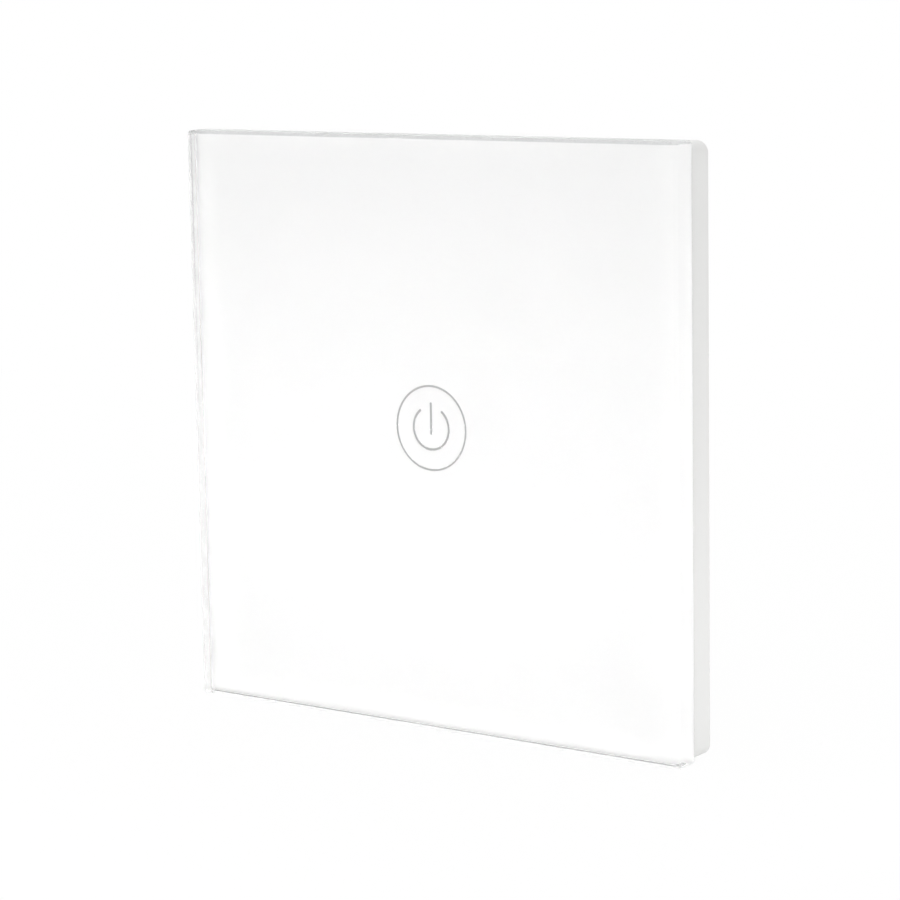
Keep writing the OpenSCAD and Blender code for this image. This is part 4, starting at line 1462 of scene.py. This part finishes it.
@dataclass
class Studio:
    """Floor, world, lamps and the camera."""

    azimuth: float = 36.33
    elevation: float = 9.09
    roll: float = -0.98
    distance: float = 431.4
    focal_pixels: float = 3014.9
    picture: float = 900.0
    sensor: float = 36.0
    nearest: float = 0.01
    furthest: float = 100.0
    aim_right: float = 4.06
    aim_up: float = -1.83
    aim_depth: float = -9.05
    floor_level: float = -43.05
    floor_half: float = 4000.0
    floor_show: float = 0.97
    fade_from: float = 120.0
    fade_to: float = 420.0
    fibre_scale: float = 900.0
    paper_dark: Colour = (0.9, 0.9, 0.9)
    paper_pale: Colour = (0.92, 0.92, 0.92)
    sky_front: float = 0.3
    sky_back: float = 0.75
    sky_over: float = 1.0
    sky_turn: Span = (0.45, 0.9)
    key: Lamp = Lamp("key_lamp", (-0.01, -0.16, -0.033), (0.3, 0.016), 0.295)
    side: Lamp = Lamp("side_lamp", (0.09, 0.0, -0.036), (0.06, 0.01), 0.0036)

    def build(self) -> None:
        """Sets up everything that isn't the switch."""
        bpy.context.scene.view_settings.view_transform = "Standard"
        self.floor()
        self.world()
        self.key.build()
        self.side.build()
        self.camera()

    @staticmethod
    def seen(sheet: Sheet) -> bpy.types.NodeSocket:
        """1 for rays that show the background: camera, mirrored and refracted ones.

        Args:
            sheet: The sheet of a material or world.

        Returns:
            The socket with the answer.
        """
        path = sheet.put("ShaderNodeLightPath").outputs
        shown = sheet.math("MAXIMUM", path["Is Camera Ray"], path["Is Glossy Ray"])
        return sheet.math("MAXIMUM", shown, path["Is Transmission Ray"])

    def floor(self) -> None:
        """A wide pale floor that keeps the shadow of the switch and fades to white around it."""
        Bench.clear()
        bpy.ops.mesh.primitive_plane_add(
            size=2 * self.floor_half * MM, location=(0.0, 0.0, self.floor_level * MM)
        )
        ground = bpy.context.object
        ground.name = "floor"
        material = bpy.data.materials.new("floor_paper")
        material.use_nodes = True
        sheet = Sheet(material.node_tree)
        fibre = sheet.noise(sheet.place(), self.fibre_scale)
        tone = sheet.mix(fibre, self.paper_dark, self.paper_pale)
        paper = sheet.put("ShaderNodeBsdfDiffuse", {"Color": tone})
        glow = sheet.put("ShaderNodeEmission")
        spread = sheet.put("ShaderNodeVectorMath", {0: sheet.place()}, operation="LENGTH").outputs["Value"]
        white = sheet.ramp(spread, self.fade_from * MM, self.fade_to * MM, self.floor_show, 1.0)
        share = sheet.math("MULTIPLY", self.seen(sheet), white)
        sheet.put("ShaderNodeOutputMaterial", {"Surface": sheet.blend(share, paper, glow)})
        ground.data.materials.append(material)

    def world(self) -> None:
        """A soft sky for light, stronger overhead and behind the switch, shown as white."""
        world = bpy.data.worlds.new("studio")
        world.use_nodes = True
        bpy.context.scene.world = world
        sheet = Sheet(world.node_tree)
        way = sheet.put("ShaderNodeTexCoord").outputs["Generated"]
        ahead = sheet.put("ShaderNodeSeparateXYZ", {0: way}).outputs
        behind = sheet.ramp(ahead["Y"], *self.sky_turn, self.sky_front, self.sky_back)
        over = sheet.ramp(ahead["Z"], 0.0, 1.0, 0.0, self.sky_over)
        white = (1.0, 1.0, 1.0)
        strength = sheet.math("ADD", behind, over)
        light = sheet.put("ShaderNodeBackground", {"Color": white, "Strength": strength})
        shown = sheet.put("ShaderNodeBackground", {"Color": white})
        sheet.put("ShaderNodeOutputWorld", {"Surface": sheet.blend(self.seen(sheet), light, shown)})

    def camera(self) -> None:
        """The camera at the photograph's place and angle."""
        turn, rise, lean = (math.radians(a) for a in (self.azimuth, self.elevation, self.roll))
        back = Vector((math.sin(turn) * math.cos(rise), -math.cos(turn) * math.cos(rise), math.sin(rise)))
        right = Vector((math.cos(turn), math.sin(turn), 0.0))
        up = back.cross(right)
        right, up = (
            math.cos(lean) * right + math.sin(lean) * up,
            math.cos(lean) * up - math.sin(lean) * right,
        )
        aim = Vector((0.0, self.aim_depth, 0.0))
        place = right * self.aim_right + up * self.aim_up + back * self.distance + aim
        lens = bpy.data.cameras.new("photo_camera")
        lens.sensor_fit = "HORIZONTAL"
        lens.sensor_width = self.sensor
        lens.lens = self.focal_pixels * self.sensor / self.picture
        lens.clip_start = self.nearest
        lens.clip_end = self.furthest
        camera = bpy.data.objects.new("photo_camera", lens)
        bpy.context.collection.objects.link(camera)
        axes = Matrix((right, up, back)).transposed().to_4x4()
        camera.matrix_world = Matrix.Translation(place * MM) @ axes
        bpy.context.scene.camera = camera


def main() -> None:
    """Builds the switch and its studio."""
    logging.basicConfig(level=logging.INFO, format="%(name)s: %(message)s")
    palette = Palette()
    for part in (FrontPanel, Chassis, TouchModule, PowerModule, RearHousing):
        part(palette).build()
    Studio().build()
    Bench.clear()


if __name__ == "__main__":
    main()
